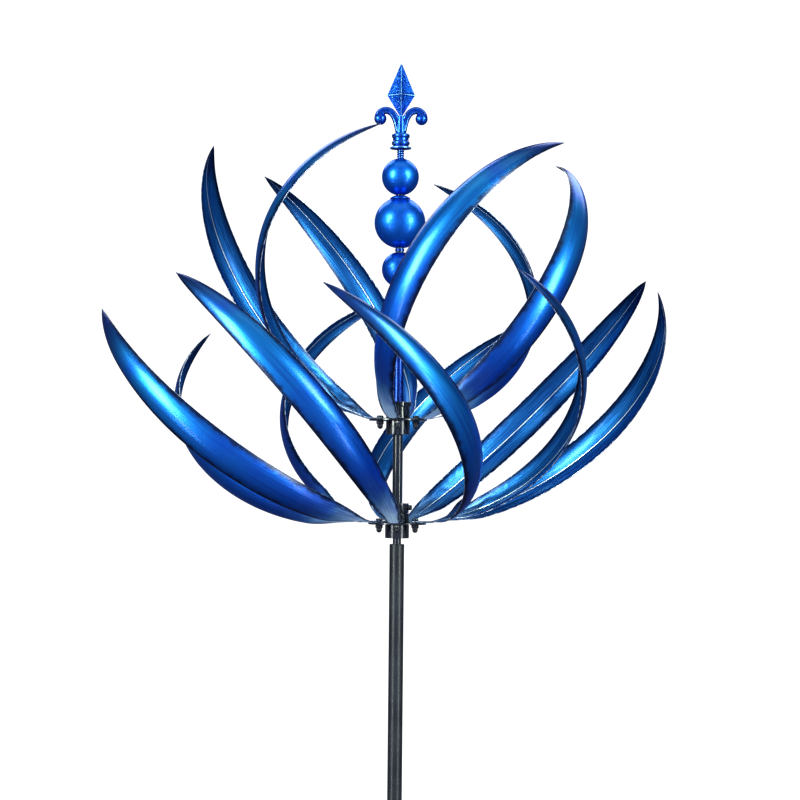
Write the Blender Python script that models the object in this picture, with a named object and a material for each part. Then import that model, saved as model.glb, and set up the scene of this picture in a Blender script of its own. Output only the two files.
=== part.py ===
"""A two-tier garden windmill on a pole: two rotors of curved sheet-metal blades that turn on one spindle,
with three balls and a fleur-de-lis finial above them. Metres, +Z up, the ground line at z = 0 on the axis."""

import math

import bmesh
import bpy
from mathutils import Matrix, Vector

MM = 0.001
GAP = 0.3 * MM
TURN = 2 * math.pi
SHARP_ANGLE = math.radians(35)
CUTTER_LENGTH = 40 * MM

# Heights on the axis
LOWER_DISC_Z = 1.350
TIER_SPACING = 0.1125
UPPER_DISC_Z = LOWER_DISC_Z + TIER_SPACING
POLE_TOP_Z = LOWER_DISC_Z - 22.3 * MM
BALL_LOWER_Z = LOWER_DISC_Z + 276 * MM
BALL_LARGE_Z = LOWER_DISC_Z + 326.7 * MM
BALL_TOP_Z = LOWER_DISC_Z + 376.6 * MM
FINIAL_Z = LOWER_DISC_Z + 407.1 * MM

# Hubs: a turned barrel through a disc, with a ball bearing pressed into each end
DISC_RADIUS = 31.5 * MM
DISC_THICKNESS = 2 * MM
DISC_FACETS = 36
DISC_TURN = math.radians(3.7)  # keeps the corners of the rim's facets out of line with the bolt holes
BARREL_RADIUS = 13 * MM
BARREL_BORE_RADIUS = 9 * MM
BEARING_WIDTH = 7 * MM
BEARING_RADIUS = 11 * MM
RACE_GAP_INNER = 6.2 * MM
RACE_GAP_OUTER = 9.2 * MM
SHIELD_THICKNESS = 0.6 * MM
LOWER_BARREL_SPAN = (-15.8 * MM, 11 * MM)
UPPER_BARREL_SPAN = (-15.8 * MM, 19.5 * MM)
FLANGE_RADIUS = 14.7 * MM
FLANGE_THICKNESS = 5 * MM

# Bolts: M4, six to a disc, each with an acorn nut under the disc
BOLT_COUNT = 6
BOLT_CIRCLE_RADIUS = 22.5 * MM
BOLT_RADIUS = 2 * MM
HOLE_RADIUS = 2.3 * MM
HEAD_RADIUS = 3.6 * MM
HEAD_HEIGHT = 2.2 * MM
NUT_ACROSS_FLATS = 7 * MM
NUT_HEX_HEIGHT = 3.4 * MM
NUT_DOME_RADIUS = 3 * MM
NUT_SHANK_HEIGHT = 2 * MM

# Blades: a flat root under the bolt, then a leaf-shaped trough along one circular arc
SHEET = 0.8 * MM
ROOT_RADIUS = 6.5 * MM
LEAF_WIDTH = 38 * MM
WIDEST_AT = 0.45
SWELL_POWER = 2.5
TAPER_POWER = 0.7
TROUGH_HALF_ANGLE = math.radians(42)
FLAT_HALF_ANGLE = math.radians(1)
FORMING_LENGTH = 60 * MM
TIP_WIDTH = 0.8 * MM
STRIPS_ACROSS = 4
STEPS_ALONG = 14

# For each blade: the bolt it hangs on (counted anticlockwise from the front), the turn of its root away from
# the radius and the rise of its leaf (both in degrees), and its share of the full length
UPPER_TIER = {
    "root": 15 * MM,
    "bend_radius": 182 * MM,
    "length": 445 * MM,
    "lean": math.radians(34.5),
    "bolts": (0, 1, 2, 3, 4, 5),
    "turns": (-20, -15, -13, -14, -19.5, -21),
    "rises": (27, 19, 11.5, 10.5, 14.5, 21),
    "reaches": (1, 1, 1, 1, 1, 1),
}
LOWER_TIER = {
    "root": 20 * MM,
    "bend_radius": 212 * MM,
    "length": 450 * MM,
    "lean": math.radians(-48.5),
    "bolts": (4, 5, 5, 0, 1, 1, 2, 3, 3),
    "turns": (3, -28, 23, -10, -23.5, 18, -8, -34, 24),
    "rises": (20.5, 1, 5, 27, 7, 13, 9, 20, 7),
    "reaches": (1, 1, 0.99, 0.92, 1, 1, 1, 1, 1),
}

# Spindle, sleeves and collar
SPINDLE_RADIUS = 4 * MM
SHOULDER_RADIUS = 4.5 * MM
SPINDLE_BORE_RADIUS = 4.25 * MM
SPINDLE_INSERT = 42 * MM
SPINDLE_IN_FINIAL = 11 * MM
SLEEVE_RADIUS = 5.5 * MM
COLLAR_RADIUS = 12.5 * MM
COLLAR_HEIGHT = 10.8 * MM
SET_SCREW_LEVEL = 6.2 * MM
SET_SCREW_RADIUS = 2 * MM
SET_SCREW_HEAD_RADIUS = 2.8 * MM
SET_SCREW_HEAD_LENGTH = 3.4 * MM
SET_SCREW_TURN = math.radians(-12)

# Balls
BALL_SMALL_RADIUS = 19.2 * MM
BALL_LARGE_RADIUS = 27.7 * MM
BALL_TOP_RADIUS = 20.1 * MM
BALL_WALL = 0.8 * MM
SPACER_RADIUS = 5 * MM
CAP_RADIUS = 11 * MM
CAP_RISE = 2.2 * MM

# Finial, measured from the underside of its flange
FINIAL_FLANGE_RADIUS = 11.6 * MM
FINIAL_FLANGE_THICKNESS = 1.8 * MM
BEAD_RADIUS = 9.8 * MM
BEAD_HALF_HEIGHT = 2.2 * MM
BEAD_LEVELS = (6 * MM, 14 * MM)
GROOVE_RADIUS = 7.8 * MM
STEM_RADIUS = 5.6 * MM
STEM_TOP = 36 * MM
SPEAR_BOTTOM = 33 * MM
SPEAR_WAIST = 58 * MM
SPEAR_TIP = 94.6 * MM
SPEAR_HALF_WIDTH = 15.5 * MM
SPEAR_HALF_DEPTH = 10.5 * MM
CURL_RADIUS = 4 * MM
CURL_START = (1.6 * MM, 16 * MM)
CURL_TOP = (16.5 * MM, 41.7 * MM)
CURL_BEND_RADIUS = 8.5 * MM
CURL_END_RADIUS = 6.8 * MM
CURL_END_SET_BACK = (2.6 * MM, 0.6 * MM)

# Pole: three tubes, each reduced at its upper end to slip into the next
POLE_RADIUS = 8 * MM
POLE_WALL = 1 * MM
SPIGOT_RADIUS = 6.7 * MM
SPIGOT_WALL = 0.9 * MM
SPIGOT_LENGTH = 60 * MM
POLE_BOTTOM_Z = -30 * MM
POLE_JOINT_ZS = (0.430, 0.880)
PLUG_LENGTH = 50 * MM
JOINT_SCREW_ABOVE = 25 * MM

# Ground stake
STEP_BAR_SIZE = (0.170, 0.030, 0.004)
PRONG_RADIUS = 4 * MM
PRONG_OFFSET = 0.070
PRONG_LENGTH = 0.200
PRONG_STUB = 1 * MM
SPIKE_LENGTH = 0.250
SPIKE_POINT_LENGTH = 0.050
PRONG_POINT_LENGTH = 0.025
POINT_RADIUS = 0.8 * MM

COLOURS = {
    "blue_paint": ((0.01, 0.13, 0.62), 0.85, 0.25),
    "black_gloss": ((0.015, 0.015, 0.018), 0.3, 0.25),
    "pole_black": ((0.03, 0.03, 0.035), 0.3, 0.45),
    "bearing_steel": ((0.62, 0.62, 0.64), 1.0, 0.3),
}


def clear_scene():
    for obj in list(bpy.data.objects):
        bpy.data.objects.remove(obj, do_unlink=True)


def make_material(name, finish):
    colour, metallic, roughness = COLOURS[finish]
    material = bpy.data.materials.new(name)
    material.use_nodes = True
    shader = material.node_tree.nodes["Principled BSDF"]
    shader.inputs["Base Color"].default_value = (*colour, 1)
    shader.inputs["Metallic"].default_value = metallic
    shader.inputs["Roughness"].default_value = roughness
    return material


def make_object(name, shape, finish, location=(0, 0, 0), turn=0, parent=None):
    """Turns a bmesh into a named object with its own material and smooth round faces."""
    bmesh.ops.recalc_face_normals(shape, faces=shape.faces)
    mesh = bpy.data.meshes.new(name)
    shape.to_mesh(mesh)
    shape.free()
    mesh.shade_smooth()
    mesh.set_sharp_from_angle(angle=SHARP_ANGLE)
    mesh.materials.append(make_material(name, finish))
    obj = bpy.data.objects.new(name, mesh)
    bpy.context.collection.objects.link(obj)
    obj.parent = parent
    obj.location = location
    obj.rotation_euler.z = turn
    return obj


def make_empty(name, z):
    empty = bpy.data.objects.new(name, None)
    bpy.context.collection.objects.link(empty)
    empty.location.z = z
    return empty


def make_helper(obj):
    obj.hide_render = True
    obj.display_type = "WIRE"
    return obj


def combine(obj, other, operation):
    """Joins a helper to an object, or cuts it away, and leaves the modifier in place."""
    modifier = obj.modifiers.new(f"{operation.lower()} {other.name}", "BOOLEAN")
    modifier.operation = operation
    modifier.object = other


def turned(profile, steps=24, ring=False):
    """A solid of revolution from (radius, height) points. With ring, the outline closes on itself."""
    shape = bmesh.new()
    loops = []
    for radius, height in profile:
        if radius == 0:
            loops.append([shape.verts.new((0, 0, height))] * steps)
            continue
        angles = [TURN * i / steps for i in range(steps)]
        points = [(radius * math.cos(a), radius * math.sin(a), height) for a in angles]
        loops.append([shape.verts.new(point) for point in points])
    followers = loops[1:] + loops[:1] if ring else loops[1:]
    for upper, lower in zip(loops, followers):
        for i in range(steps):
            j = (i + 1) % steps
            corners = list(dict.fromkeys((upper[i], upper[j], lower[j], lower[i])))
            if len(corners) > 2:
                shape.faces.new(corners)
    return shape


def tube(outer, inner, bottom, top, steps=24):
    return turned([(outer, top), (outer, bottom), (inner, bottom), (inner, top)], steps, ring=True)


def polar(radius, azimuth):
    """A point at an azimuth in degrees, measured from the front (-Y) towards +X."""
    angle = math.radians(azimuth - 90)
    return radius * math.cos(angle), radius * math.sin(angle)


def smooth_step(value):
    value = min(max(value, 0), 1)
    return value * value * (3 - 2 * value)


# Blades


def leaf_width(share):
    """The blade's width at a share of its arc: full at WIDEST_AT, a point at the tip."""
    root_width = 2 * ROOT_RADIUS
    if share < WIDEST_AT:
        return root_width + (LEAF_WIDTH - root_width) * (1 - (1 - share / WIDEST_AT) ** SWELL_POWER)
    toward_tip = (share - WIDEST_AT) / (1 - WIDEST_AT)
    return max(LEAF_WIDTH * (1 - toward_tip**2) ** TAPER_POWER, TIP_WIDTH)


def blade_stations(tier, reach):
    """(distance from the bolt, width) along the blade: round end, flat root, then the leaf."""
    rounding = [math.radians(angle) for angle in (20, 50, 90)]
    stations = [(-ROOT_RADIUS * math.cos(a), 2 * ROOT_RADIUS * math.sin(a)) for a in rounding]
    stations.append((tier["root"] / 2, 2 * ROOT_RADIUS))
    for step in range(STEPS_ALONG + 1):
        share = step / STEPS_ALONG
        stations.append((tier["root"] + share * reach * tier["length"], leaf_width(share)))
    return stations


def blade_frame(tier, rise, distance):
    """Point, tangent and face normal of the blade at a distance from its bolt, with +X pointing outwards."""
    up, side = Vector((0, 0, 1)), Vector((0, 1, 0))
    past_root = distance - tier["root"]
    if past_root <= 0:
        return Vector((distance, 0, 0)), Vector((1, 0, 0)), up
    angle = past_root / tier["bend_radius"]
    outward = Vector((math.cos(rise), 0, math.sin(rise)))
    inward = Vector((-math.sin(rise), 0, math.cos(rise)))
    bend = inward * math.cos(tier["lean"]) + side * math.sin(tier["lean"])
    along = outward * math.sin(angle) + bend * (1 - math.cos(angle))
    point = Vector((tier["root"], 0, 0)) + tier["bend_radius"] * along
    tangent = outward * math.cos(angle) + bend * math.sin(angle)
    full_normal = bend * math.cos(angle) - outward * math.sin(angle)
    flat_normal = (up - tangent * up.dot(tangent)).normalized()
    roll = math.atan2(flat_normal.cross(full_normal).dot(tangent), flat_normal.dot(full_normal))
    roll *= smooth_step(past_root / FORMING_LENGTH)
    return point, tangent, Matrix.Rotation(roll, 3, tangent) @ flat_normal


def blade_section(width, half_angle):
    """(across, height) pairs of the curved sheet: the outer face, then the inner face backwards.
    Half of the trough's depth lies to each side of the blade's centreline."""
    bend = width / (2 * math.sin(half_angle))
    middle = bend * (1 - math.cos(half_angle)) / 2
    angles = [half_angle * (2 * i / STRIPS_ACROSS - 1) for i in range(STRIPS_ACROSS + 1)]
    outer = [(bend * math.sin(a), bend * (1 - math.cos(a)) - middle) for a in angles]
    inner_bend = bend - SHEET
    inner = [(inner_bend * math.sin(a), bend - inner_bend * math.cos(a) - middle) for a in angles]
    return outer + inner[::-1]


def blade_shape(tier, rise, reach):
    shape = bmesh.new()
    loops = []
    for distance, width in blade_stations(tier, reach):
        point, tangent, normal = blade_frame(tier, rise, distance)
        across = tangent.cross(normal)
        formed = smooth_step((distance - tier["root"]) / FORMING_LENGTH)
        half_angle = FLAT_HALF_ANGLE + (TROUGH_HALF_ANGLE - FLAT_HALF_ANGLE) * formed
        section = blade_section(max(width, 3 * SHEET * math.sin(half_angle)), half_angle)
        loops.append([shape.verts.new(point + across * b + normal * h) for b, h in section])
    for near, far in zip(loops, loops[1:]):
        for i in range(len(near)):
            j = (i + 1) % len(near)
            shape.faces.new((near[i], near[j], far[j], far[i]))
    for end in (loops[0], loops[-1]):
        for i in range(STRIPS_ACROSS):
            shape.faces.new((end[i], end[i + 1], end[-i - 2], end[-i - 1]))
    return shape


# Fasteners


def hexagon_points(across_flats, steps=12):
    """Radii round a hexagon, one for every step of a turned ring."""
    corner = across_flats / 2 / math.cos(math.radians(30))
    return [corner if i % 2 == 0 else across_flats / 2 for i in range(steps)]


def bolt_shape(head_bottom, nut_top, steps=12):
    """A pan-head bolt and the acorn nut on its end, on the bolt's own axis."""
    nut_bottom = nut_top - NUT_HEX_HEIGHT
    dome_base = nut_bottom - NUT_SHANK_HEIGHT
    flats = hexagon_points(NUT_ACROSS_FLATS, steps)
    rings = [
        ([0.7 * HEAD_RADIUS] * steps, head_bottom + HEAD_HEIGHT),
        ([HEAD_RADIUS] * steps, head_bottom + 0.5 * HEAD_HEIGHT),
        ([HEAD_RADIUS] * steps, head_bottom),
        ([BOLT_RADIUS] * steps, head_bottom),
        ([BOLT_RADIUS] * steps, nut_top),
        (flats, nut_top),
        (flats, nut_bottom),
        ([NUT_DOME_RADIUS] * steps, nut_bottom),
        ([NUT_DOME_RADIUS] * steps, dome_base),
        ([0.75 * NUT_DOME_RADIUS] * steps, dome_base - 0.66 * NUT_DOME_RADIUS),
    ]
    shape = bmesh.new()
    loops = [[shape.verts.new((0, 0, head_bottom + 1.15 * HEAD_HEIGHT))] * steps]
    for radii, height in rings:
        angles = [TURN * i / steps for i in range(steps)]
        corners = [(r * math.cos(a), r * math.sin(a), height) for r, a in zip(radii, angles)]
        loops.append([shape.verts.new(corner) for corner in corners])
    loops.append([shape.verts.new((0, 0, dome_base - NUT_DOME_RADIUS))] * steps)
    for upper, lower in zip(loops, loops[1:]):
        for i in range(steps):
            j = (i + 1) % steps
            shape.faces.new(list(dict.fromkeys((upper[i], upper[j], lower[j], lower[i]))))
    return shape


def make_hole_cutter(name, radius, length, location, parent=None, lies_along_x=False):
    shape = turned([(0, length / 2), (radius, length / 2), (radius, -length / 2), (0, -length / 2)], 16)
    cutter = make_helper(make_object(name, shape, "black_gloss", location, parent=parent))
    if lies_along_x:
        cutter.rotation_euler = (0, math.radians(90), SET_SCREW_TURN)
    return cutter


def make_radial_screw(name, tip, seat, z):
    """A screw that points at the axis: its head sits at the seat radius."""
    head = SET_SCREW_HEAD_RADIUS
    profile = [
        (0, seat + SET_SCREW_HEAD_LENGTH),
        (0.75 * head, seat + SET_SCREW_HEAD_LENGTH),
        (head, seat + 0.7 * SET_SCREW_HEAD_LENGTH),
        (head, seat),
        (SET_SCREW_RADIUS, seat),
        (SET_SCREW_RADIUS, tip),
        (0, tip),
    ]
    screw = make_object(name, turned(profile, 16), "black_gloss", (0, 0, z))
    screw.rotation_euler = (0, math.radians(90), SET_SCREW_TURN)
    return screw


# Rotors


def barrel_shape(span, flange):
    """A barrel with a bearing pocket at each end, and a flange round the top when asked for."""
    bottom, top = span
    pocket = BEARING_WIDTH + GAP
    pocket_radius = BEARING_RADIUS + GAP
    rim = [(BARREL_RADIUS, top)]
    if flange:
        rim = [
            (FLANGE_RADIUS, top),
            (FLANGE_RADIUS, top - FLANGE_THICKNESS),
            (BARREL_RADIUS, top - FLANGE_THICKNESS),
        ]
    bore = [
        (BARREL_RADIUS, bottom),
        (pocket_radius, bottom),
        (pocket_radius, bottom + pocket),
        (BARREL_BORE_RADIUS, bottom + pocket),
        (BARREL_BORE_RADIUS, top - pocket),
        (pocket_radius, top - pocket),
        (pocket_radius, top),
    ]
    return turned(rim + bore, ring=True)


def outer_race_shape(bottom):
    """The outer race with a thin shield at each face, which together make a C in section."""
    top = bottom + BEARING_WIDTH
    lip = RACE_GAP_INNER + GAP
    profile = [
        (BEARING_RADIUS, top),
        (BEARING_RADIUS, bottom),
        (lip, bottom),
        (lip, bottom + SHIELD_THICKNESS),
        (RACE_GAP_OUTER, bottom + SHIELD_THICKNESS),
        (RACE_GAP_OUTER, top - SHIELD_THICKNESS),
        (lip, top - SHIELD_THICKNESS),
        (lip, top),
    ]
    return turned(profile, 20, ring=True)


def make_bearings(tier_name, span, disc_z, rotor):
    """Outer races turn with the rotor; inner races stay on the spindle."""
    bottoms = {"bottom": span[0], "top": span[1] - BEARING_WIDTH}
    for place, bottom in bottoms.items():
        outer = outer_race_shape(bottom)
        inner = tube(RACE_GAP_INNER, SPINDLE_BORE_RADIUS, bottom, bottom + BEARING_WIDTH, 20)
        make_object(f"{tier_name}_{place}_bearing_outer", outer, "bearing_steel", parent=rotor)
        make_object(f"{tier_name}_{place}_bearing_inner", inner, "bearing_steel", (0, 0, disc_z))


def make_disc(tier_name, rotor):
    half = DISC_THICKNESS / 2
    shape = tube(DISC_RADIUS, BARREL_RADIUS + GAP, -half, half, DISC_FACETS)
    return make_object(f"{tier_name}_hub_disc", shape, "black_gloss", turn=DISC_TURN, parent=rotor)


def make_bolts(tier_name, rotor, disc, blades_on_bolt):
    """One bolt for each hole, long enough for the one or two blade roots that it clamps."""
    for number in range(BOLT_COUNT):
        x, y = polar(BOLT_CIRCLE_RADIUS, number * 360 / BOLT_COUNT)
        blades = blades_on_bolt.get(number, [])
        name = f"{tier_name}_hole_{number + 1}"
        cutter = make_hole_cutter(name, HOLE_RADIUS, CUTTER_LENGTH, (x, y, 0), rotor)
        for clamped in [disc, *blades]:
            combine(clamped, cutter, "DIFFERENCE")
        stack_top = DISC_THICKNESS / 2 + len(blades) * (SHEET + GAP)
        shape = bolt_shape(stack_top + GAP, -DISC_THICKNESS / 2 - GAP)
        make_object(f"{tier_name}_bolt_{number + 1}", shape, "black_gloss", (x, y, 0), parent=rotor)


def make_blades(tier_name, tier, rotor):
    """Hangs every blade on its bolt, and returns the blades of each bolt."""
    blades_on_bolt = {}
    settings = zip(tier["bolts"], tier["turns"], tier["rises"], tier["reaches"])
    for number, (bolt, turn, rise, reach) in enumerate(settings, 1):
        stacked = blades_on_bolt.setdefault(bolt, [])
        bolt_azimuth = bolt * 360 / BOLT_COUNT
        x, y = polar(BOLT_CIRCLE_RADIUS, bolt_azimuth)
        level = DISC_THICKNESS / 2 + GAP + len(stacked) * (SHEET + GAP)
        direction = math.radians(bolt_azimuth + turn - 90)
        shape = blade_shape(tier, math.radians(rise), reach)
        name = f"{tier_name}_blade_{number}"
        stacked.append(make_object(name, shape, "blue_paint", (x, y, level), direction, rotor))
    return blades_on_bolt


def make_rotor(tier_name, tier, disc_z, span, flange):
    rotor = make_empty(f"{tier_name}_rotor_axis", disc_z)
    make_object(f"{tier_name}_hub_barrel", barrel_shape(span, flange), "black_gloss", parent=rotor)
    make_bearings(tier_name, span, disc_z, rotor)
    disc = make_disc(tier_name, rotor)
    make_bolts(tier_name, rotor, disc, make_blades(tier_name, tier, rotor))


# Spindle and what is stacked on it


def make_spindle():
    shoulder_top = LOWER_DISC_Z + LOWER_BARREL_SPAN[0] - GAP
    bottom = POLE_TOP_Z - SPINDLE_INSERT
    top = FINIAL_Z + SPINDLE_IN_FINIAL
    profile = [
        (0, top),
        (SPINDLE_RADIUS, top),
        (SPINDLE_RADIUS, shoulder_top),
        (SHOULDER_RADIUS, shoulder_top),
        (SHOULDER_RADIUS, bottom),
        (0, bottom),
    ]
    make_object("spindle", turned(profile, 20), "black_gloss")


def make_collar():
    """The collar that keeps the lower rotor down, with a set screw through its side."""
    bottom = LOWER_DISC_Z + LOWER_BARREL_SPAN[1] + GAP
    screw_z = bottom + SET_SCREW_LEVEL
    shape = tube(COLLAR_RADIUS, SPINDLE_BORE_RADIUS, bottom, bottom + COLLAR_HEIGHT)
    collar = make_object("lower_collar", shape, "black_gloss")
    reach = 2 * COLLAR_RADIUS
    location = (COLLAR_RADIUS * math.cos(SET_SCREW_TURN), COLLAR_RADIUS * math.sin(SET_SCREW_TURN), screw_z)
    cutter = make_hole_cutter("set_screw_hole", HOLE_RADIUS, reach, location, lies_along_x=True)
    combine(collar, cutter, "DIFFERENCE")
    make_radial_screw("collar_set_screw", SPINDLE_BORE_RADIUS + GAP, COLLAR_RADIUS + GAP, screw_z)
    return bottom + COLLAR_HEIGHT


def make_sleeves(collar_top):
    upper_bottom = UPPER_DISC_Z + UPPER_BARREL_SPAN[0]
    upper_top = UPPER_DISC_Z + UPPER_BARREL_SPAN[1]
    ball_bottom = BALL_LOWER_Z - BALL_SMALL_RADIUS
    sleeves = (
        ("sleeve_between_hubs", collar_top + GAP, upper_bottom - GAP, "black_gloss"),
        ("sleeve_under_balls", upper_top + GAP, ball_bottom - GAP, "blue_paint"),
    )
    for name, bottom, top, finish in sleeves:
        make_object(name, tube(SLEEVE_RADIUS, SPINDLE_BORE_RADIUS, bottom, top, 20), finish)


def ball_arc(radius, rings=10):
    """(radius, height) points from one edge of the spindle's bore to the other, round a sphere."""
    edge = math.asin(SPINDLE_BORE_RADIUS / radius)
    angles = [edge + (math.pi - 2 * edge) * i / rings for i in range(rings + 1)]
    return [(radius * math.sin(a), radius * math.cos(a)) for a in angles]


def make_ball(name, radius, z):
    """A pressed hollow ball with a hole for the spindle at each end."""
    profile = ball_arc(radius) + ball_arc(radius - BALL_WALL)[::-1]
    make_object(name, turned(profile, 20, ring=True), "blue_paint", (0, 0, z))


def make_ball_spacers():
    """A plain ring under the large ball, and a capped ring that sits on it."""
    low = BALL_LOWER_Z + BALL_SMALL_RADIUS + GAP
    high = BALL_LARGE_Z - BALL_LARGE_RADIUS - GAP
    make_object("ball_spacer_lower", tube(SPACER_RADIUS, SPINDLE_BORE_RADIUS, low, high, 20), "blue_paint")
    seat = BALL_LARGE_Z + BALL_LARGE_RADIUS
    cap_edge = BALL_LARGE_Z + math.sqrt(BALL_LARGE_RADIUS**2 - CAP_RADIUS**2) + 2 * GAP
    top = BALL_TOP_Z - BALL_TOP_RADIUS - GAP / 2
    profile = [
        (SPINDLE_BORE_RADIUS, top),
        (SPACER_RADIUS, top),
        (0.8 * CAP_RADIUS, cap_edge + 0.6 * CAP_RISE),
        (CAP_RADIUS, cap_edge + 0.25 * CAP_RISE),
        (CAP_RADIUS, cap_edge),
        (SPINDLE_BORE_RADIUS, seat + GAP),
    ]
    make_object("ball_spacer_capped", turned(profile, 20, ring=True), "blue_paint")


# Finial


def finial_base_shape():
    """Flange, two beads and the stem, with the blind hole for the spindle."""
    hole_top = SPINDLE_IN_FINIAL + GAP
    outline = [(0, STEM_TOP), (0.6 * STEM_RADIUS, STEM_TOP), (STEM_RADIUS, BEAD_LEVELS[1] + BEAD_HALF_HEIGHT)]
    for level in reversed(BEAD_LEVELS):
        for angle in (60, 20, -20, -60):
            bulge = BEAD_RADIUS - GROOVE_RADIUS
            radius = GROOVE_RADIUS + bulge * math.cos(math.radians(angle)) ** 0.5
            outline.append((radius, level + BEAD_HALF_HEIGHT * math.sin(math.radians(angle))))
    outline += [
        (GROOVE_RADIUS, FINIAL_FLANGE_THICKNESS),
        (FINIAL_FLANGE_RADIUS, FINIAL_FLANGE_THICKNESS),
        (FINIAL_FLANGE_RADIUS, 0),
        (SPINDLE_BORE_RADIUS, 0),
        (SPINDLE_BORE_RADIUS, hole_top),
        (0, hole_top),
    ]
    return turned(outline, 24)


def spear_shape():
    """Two four-sided pyramids base to base."""
    shape = bmesh.new()
    tip = shape.verts.new((0, 0, SPEAR_TIP))
    bottom = shape.verts.new((0, 0, SPEAR_BOTTOM))
    width, depth = SPEAR_HALF_WIDTH, SPEAR_HALF_DEPTH
    corners = [(width, 0), (0, depth), (-width, 0), (0, -depth)]
    waist = [shape.verts.new((x, y, SPEAR_WAIST)) for x, y in corners]
    for i in range(4):
        j = (i + 1) % 4
        shape.faces.new((waist[i], waist[j], tip))
        shape.faces.new((waist[j], waist[i], bottom))
    return shape


def curl_centreline():
    """A rising curve out of the stem, then a quarter circle over and down. (x, z) points."""
    start, top = Vector(CURL_START), Vector(CURL_TOP)
    first_handle = Vector((2.5 * CURL_START[0], 0.72 * CURL_TOP[1]))
    second_handle = Vector((0.42 * CURL_TOP[0], CURL_TOP[1]))
    points = []
    for step in range(9):
        t = step / 8
        weights = ((1 - t) ** 3, 3 * t * (1 - t) ** 2, 3 * t * t * (1 - t), t**3)
        handles = (start, first_handle, second_handle, top)
        points.append(sum((w * h for w, h in zip(weights, handles)), Vector((0, 0))))
    centre = top - Vector((0, CURL_BEND_RADIUS))
    for step in range(1, 5):
        angle = math.radians(90 - 22.5 * step)
        points.append(centre + CURL_BEND_RADIUS * Vector((math.cos(angle), math.sin(angle))))
    return points


def curl_shape(side, steps=10):
    """A round arm along the centreline, to the right (side 1) or the left (side -1)."""
    shape = bmesh.new()
    points = curl_centreline()
    loops = []
    for i, point in enumerate(points):
        before, after = points[max(i - 1, 0)], points[min(i + 1, len(points) - 1)]
        tangent = (after - before).normalized()
        normal = Vector((-tangent.y, tangent.x))
        loop = []
        for k in range(steps):
            angle = TURN * k / steps
            x, z = point + normal * CURL_RADIUS * math.cos(angle)
            loop.append(shape.verts.new((side * x, CURL_RADIUS * math.sin(angle), z)))
        loops.append(loop)
    for near, far in zip(loops, loops[1:]):
        for i in range(steps):
            j = (i + 1) % steps
            shape.faces.new((near[i], near[j], far[j], far[i]))
    shape.faces.new(loops[0])
    shape.faces.new(loops[-1])
    return shape


def curl_end_shape(side):
    shape = bmesh.new()
    x = CURL_TOP[0] + CURL_BEND_RADIUS - CURL_END_SET_BACK[0]
    z = CURL_TOP[1] - CURL_BEND_RADIUS - CURL_END_SET_BACK[1]
    place = Matrix.Translation((side * x, 0, z))
    bmesh.ops.create_uvsphere(shape, u_segments=14, v_segments=9, radius=CURL_END_RADIUS, matrix=place)
    return shape


def make_finial():
    finial = make_object("finial", finial_base_shape(), "blue_paint", (0, 0, FINIAL_Z))
    additions = {"spear": spear_shape()}
    for side, word in ((1, "right"), (-1, "left")):
        additions[f"curl_{word}"] = curl_shape(side)
        additions[f"curl_end_{word}"] = curl_end_shape(side)
    for name, shape in additions.items():
        helper = make_helper(make_object(f"finial_{name}", shape, "blue_paint", parent=finial))
        combine(finial, helper, "UNION")


# Pole and ground stake


def pole_section_shape(bottom, top):
    """A tube whose reduced upper end runs on into the next section."""
    reach = top + SPIGOT_LENGTH
    inner, spigot_inner = POLE_RADIUS - POLE_WALL, SPIGOT_RADIUS - SPIGOT_WALL
    profile = [
        (SPIGOT_RADIUS, reach),
        (SPIGOT_RADIUS, top),
        (POLE_RADIUS, top - POLE_WALL),
        (POLE_RADIUS, bottom),
        (inner, bottom),
        (inner, top - 4 * POLE_WALL),
        (spigot_inner, top - POLE_WALL),
        (spigot_inner, reach),
    ]
    return turned(profile, ring=True)


def make_pole():
    joints = POLE_JOINT_ZS
    lower = make_object("pole_lower", pole_section_shape(POLE_BOTTOM_Z, joints[0]), "pole_black")
    middle = make_object("pole_middle", pole_section_shape(joints[0] + GAP, joints[1]), "pole_black")
    top_tube = tube(POLE_RADIUS, POLE_RADIUS - POLE_WALL, joints[1] + GAP, POLE_TOP_Z)
    top = make_object("pole_top", top_tube, "pole_black")
    for number, (joint, below, above) in enumerate(((joints[0], lower, middle), (joints[1], middle, top)), 1):
        screw_z = joint + JOINT_SCREW_ABOVE
        reach = POLE_RADIUS * math.cos(SET_SCREW_TURN), POLE_RADIUS * math.sin(SET_SCREW_TURN)
        cutter = make_hole_cutter(
            f"pole_screw_hole_{number}", HOLE_RADIUS, POLE_RADIUS, (*reach, screw_z), lies_along_x=True
        )
        combine(below, cutter, "DIFFERENCE")
        combine(above, cutter, "DIFFERENCE")
        make_radial_screw(f"pole_screw_{number}", SPIGOT_RADIUS - 2 * SPIGOT_WALL, POLE_RADIUS + GAP, screw_z)


def make_pole_plug():
    bottom = POLE_TOP_Z - PLUG_LENGTH
    hole_bottom = POLE_TOP_Z - SPINDLE_INSERT - GAP
    hole_radius = SHOULDER_RADIUS + GAP
    profile = [
        (0, hole_bottom),
        (hole_radius, hole_bottom),
        (hole_radius, POLE_TOP_Z),
        (SPIGOT_RADIUS, POLE_TOP_Z),
        (SPIGOT_RADIUS, bottom),
        (0, bottom),
    ]
    make_object("pole_plug", turned(profile), "pole_black")


def spike_profile(top, radius, length, point_length):
    bottom = top - length
    return [(0, top), (radius, top), (radius, bottom + point_length), (POINT_RADIUS, bottom), (0, bottom)]


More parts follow.
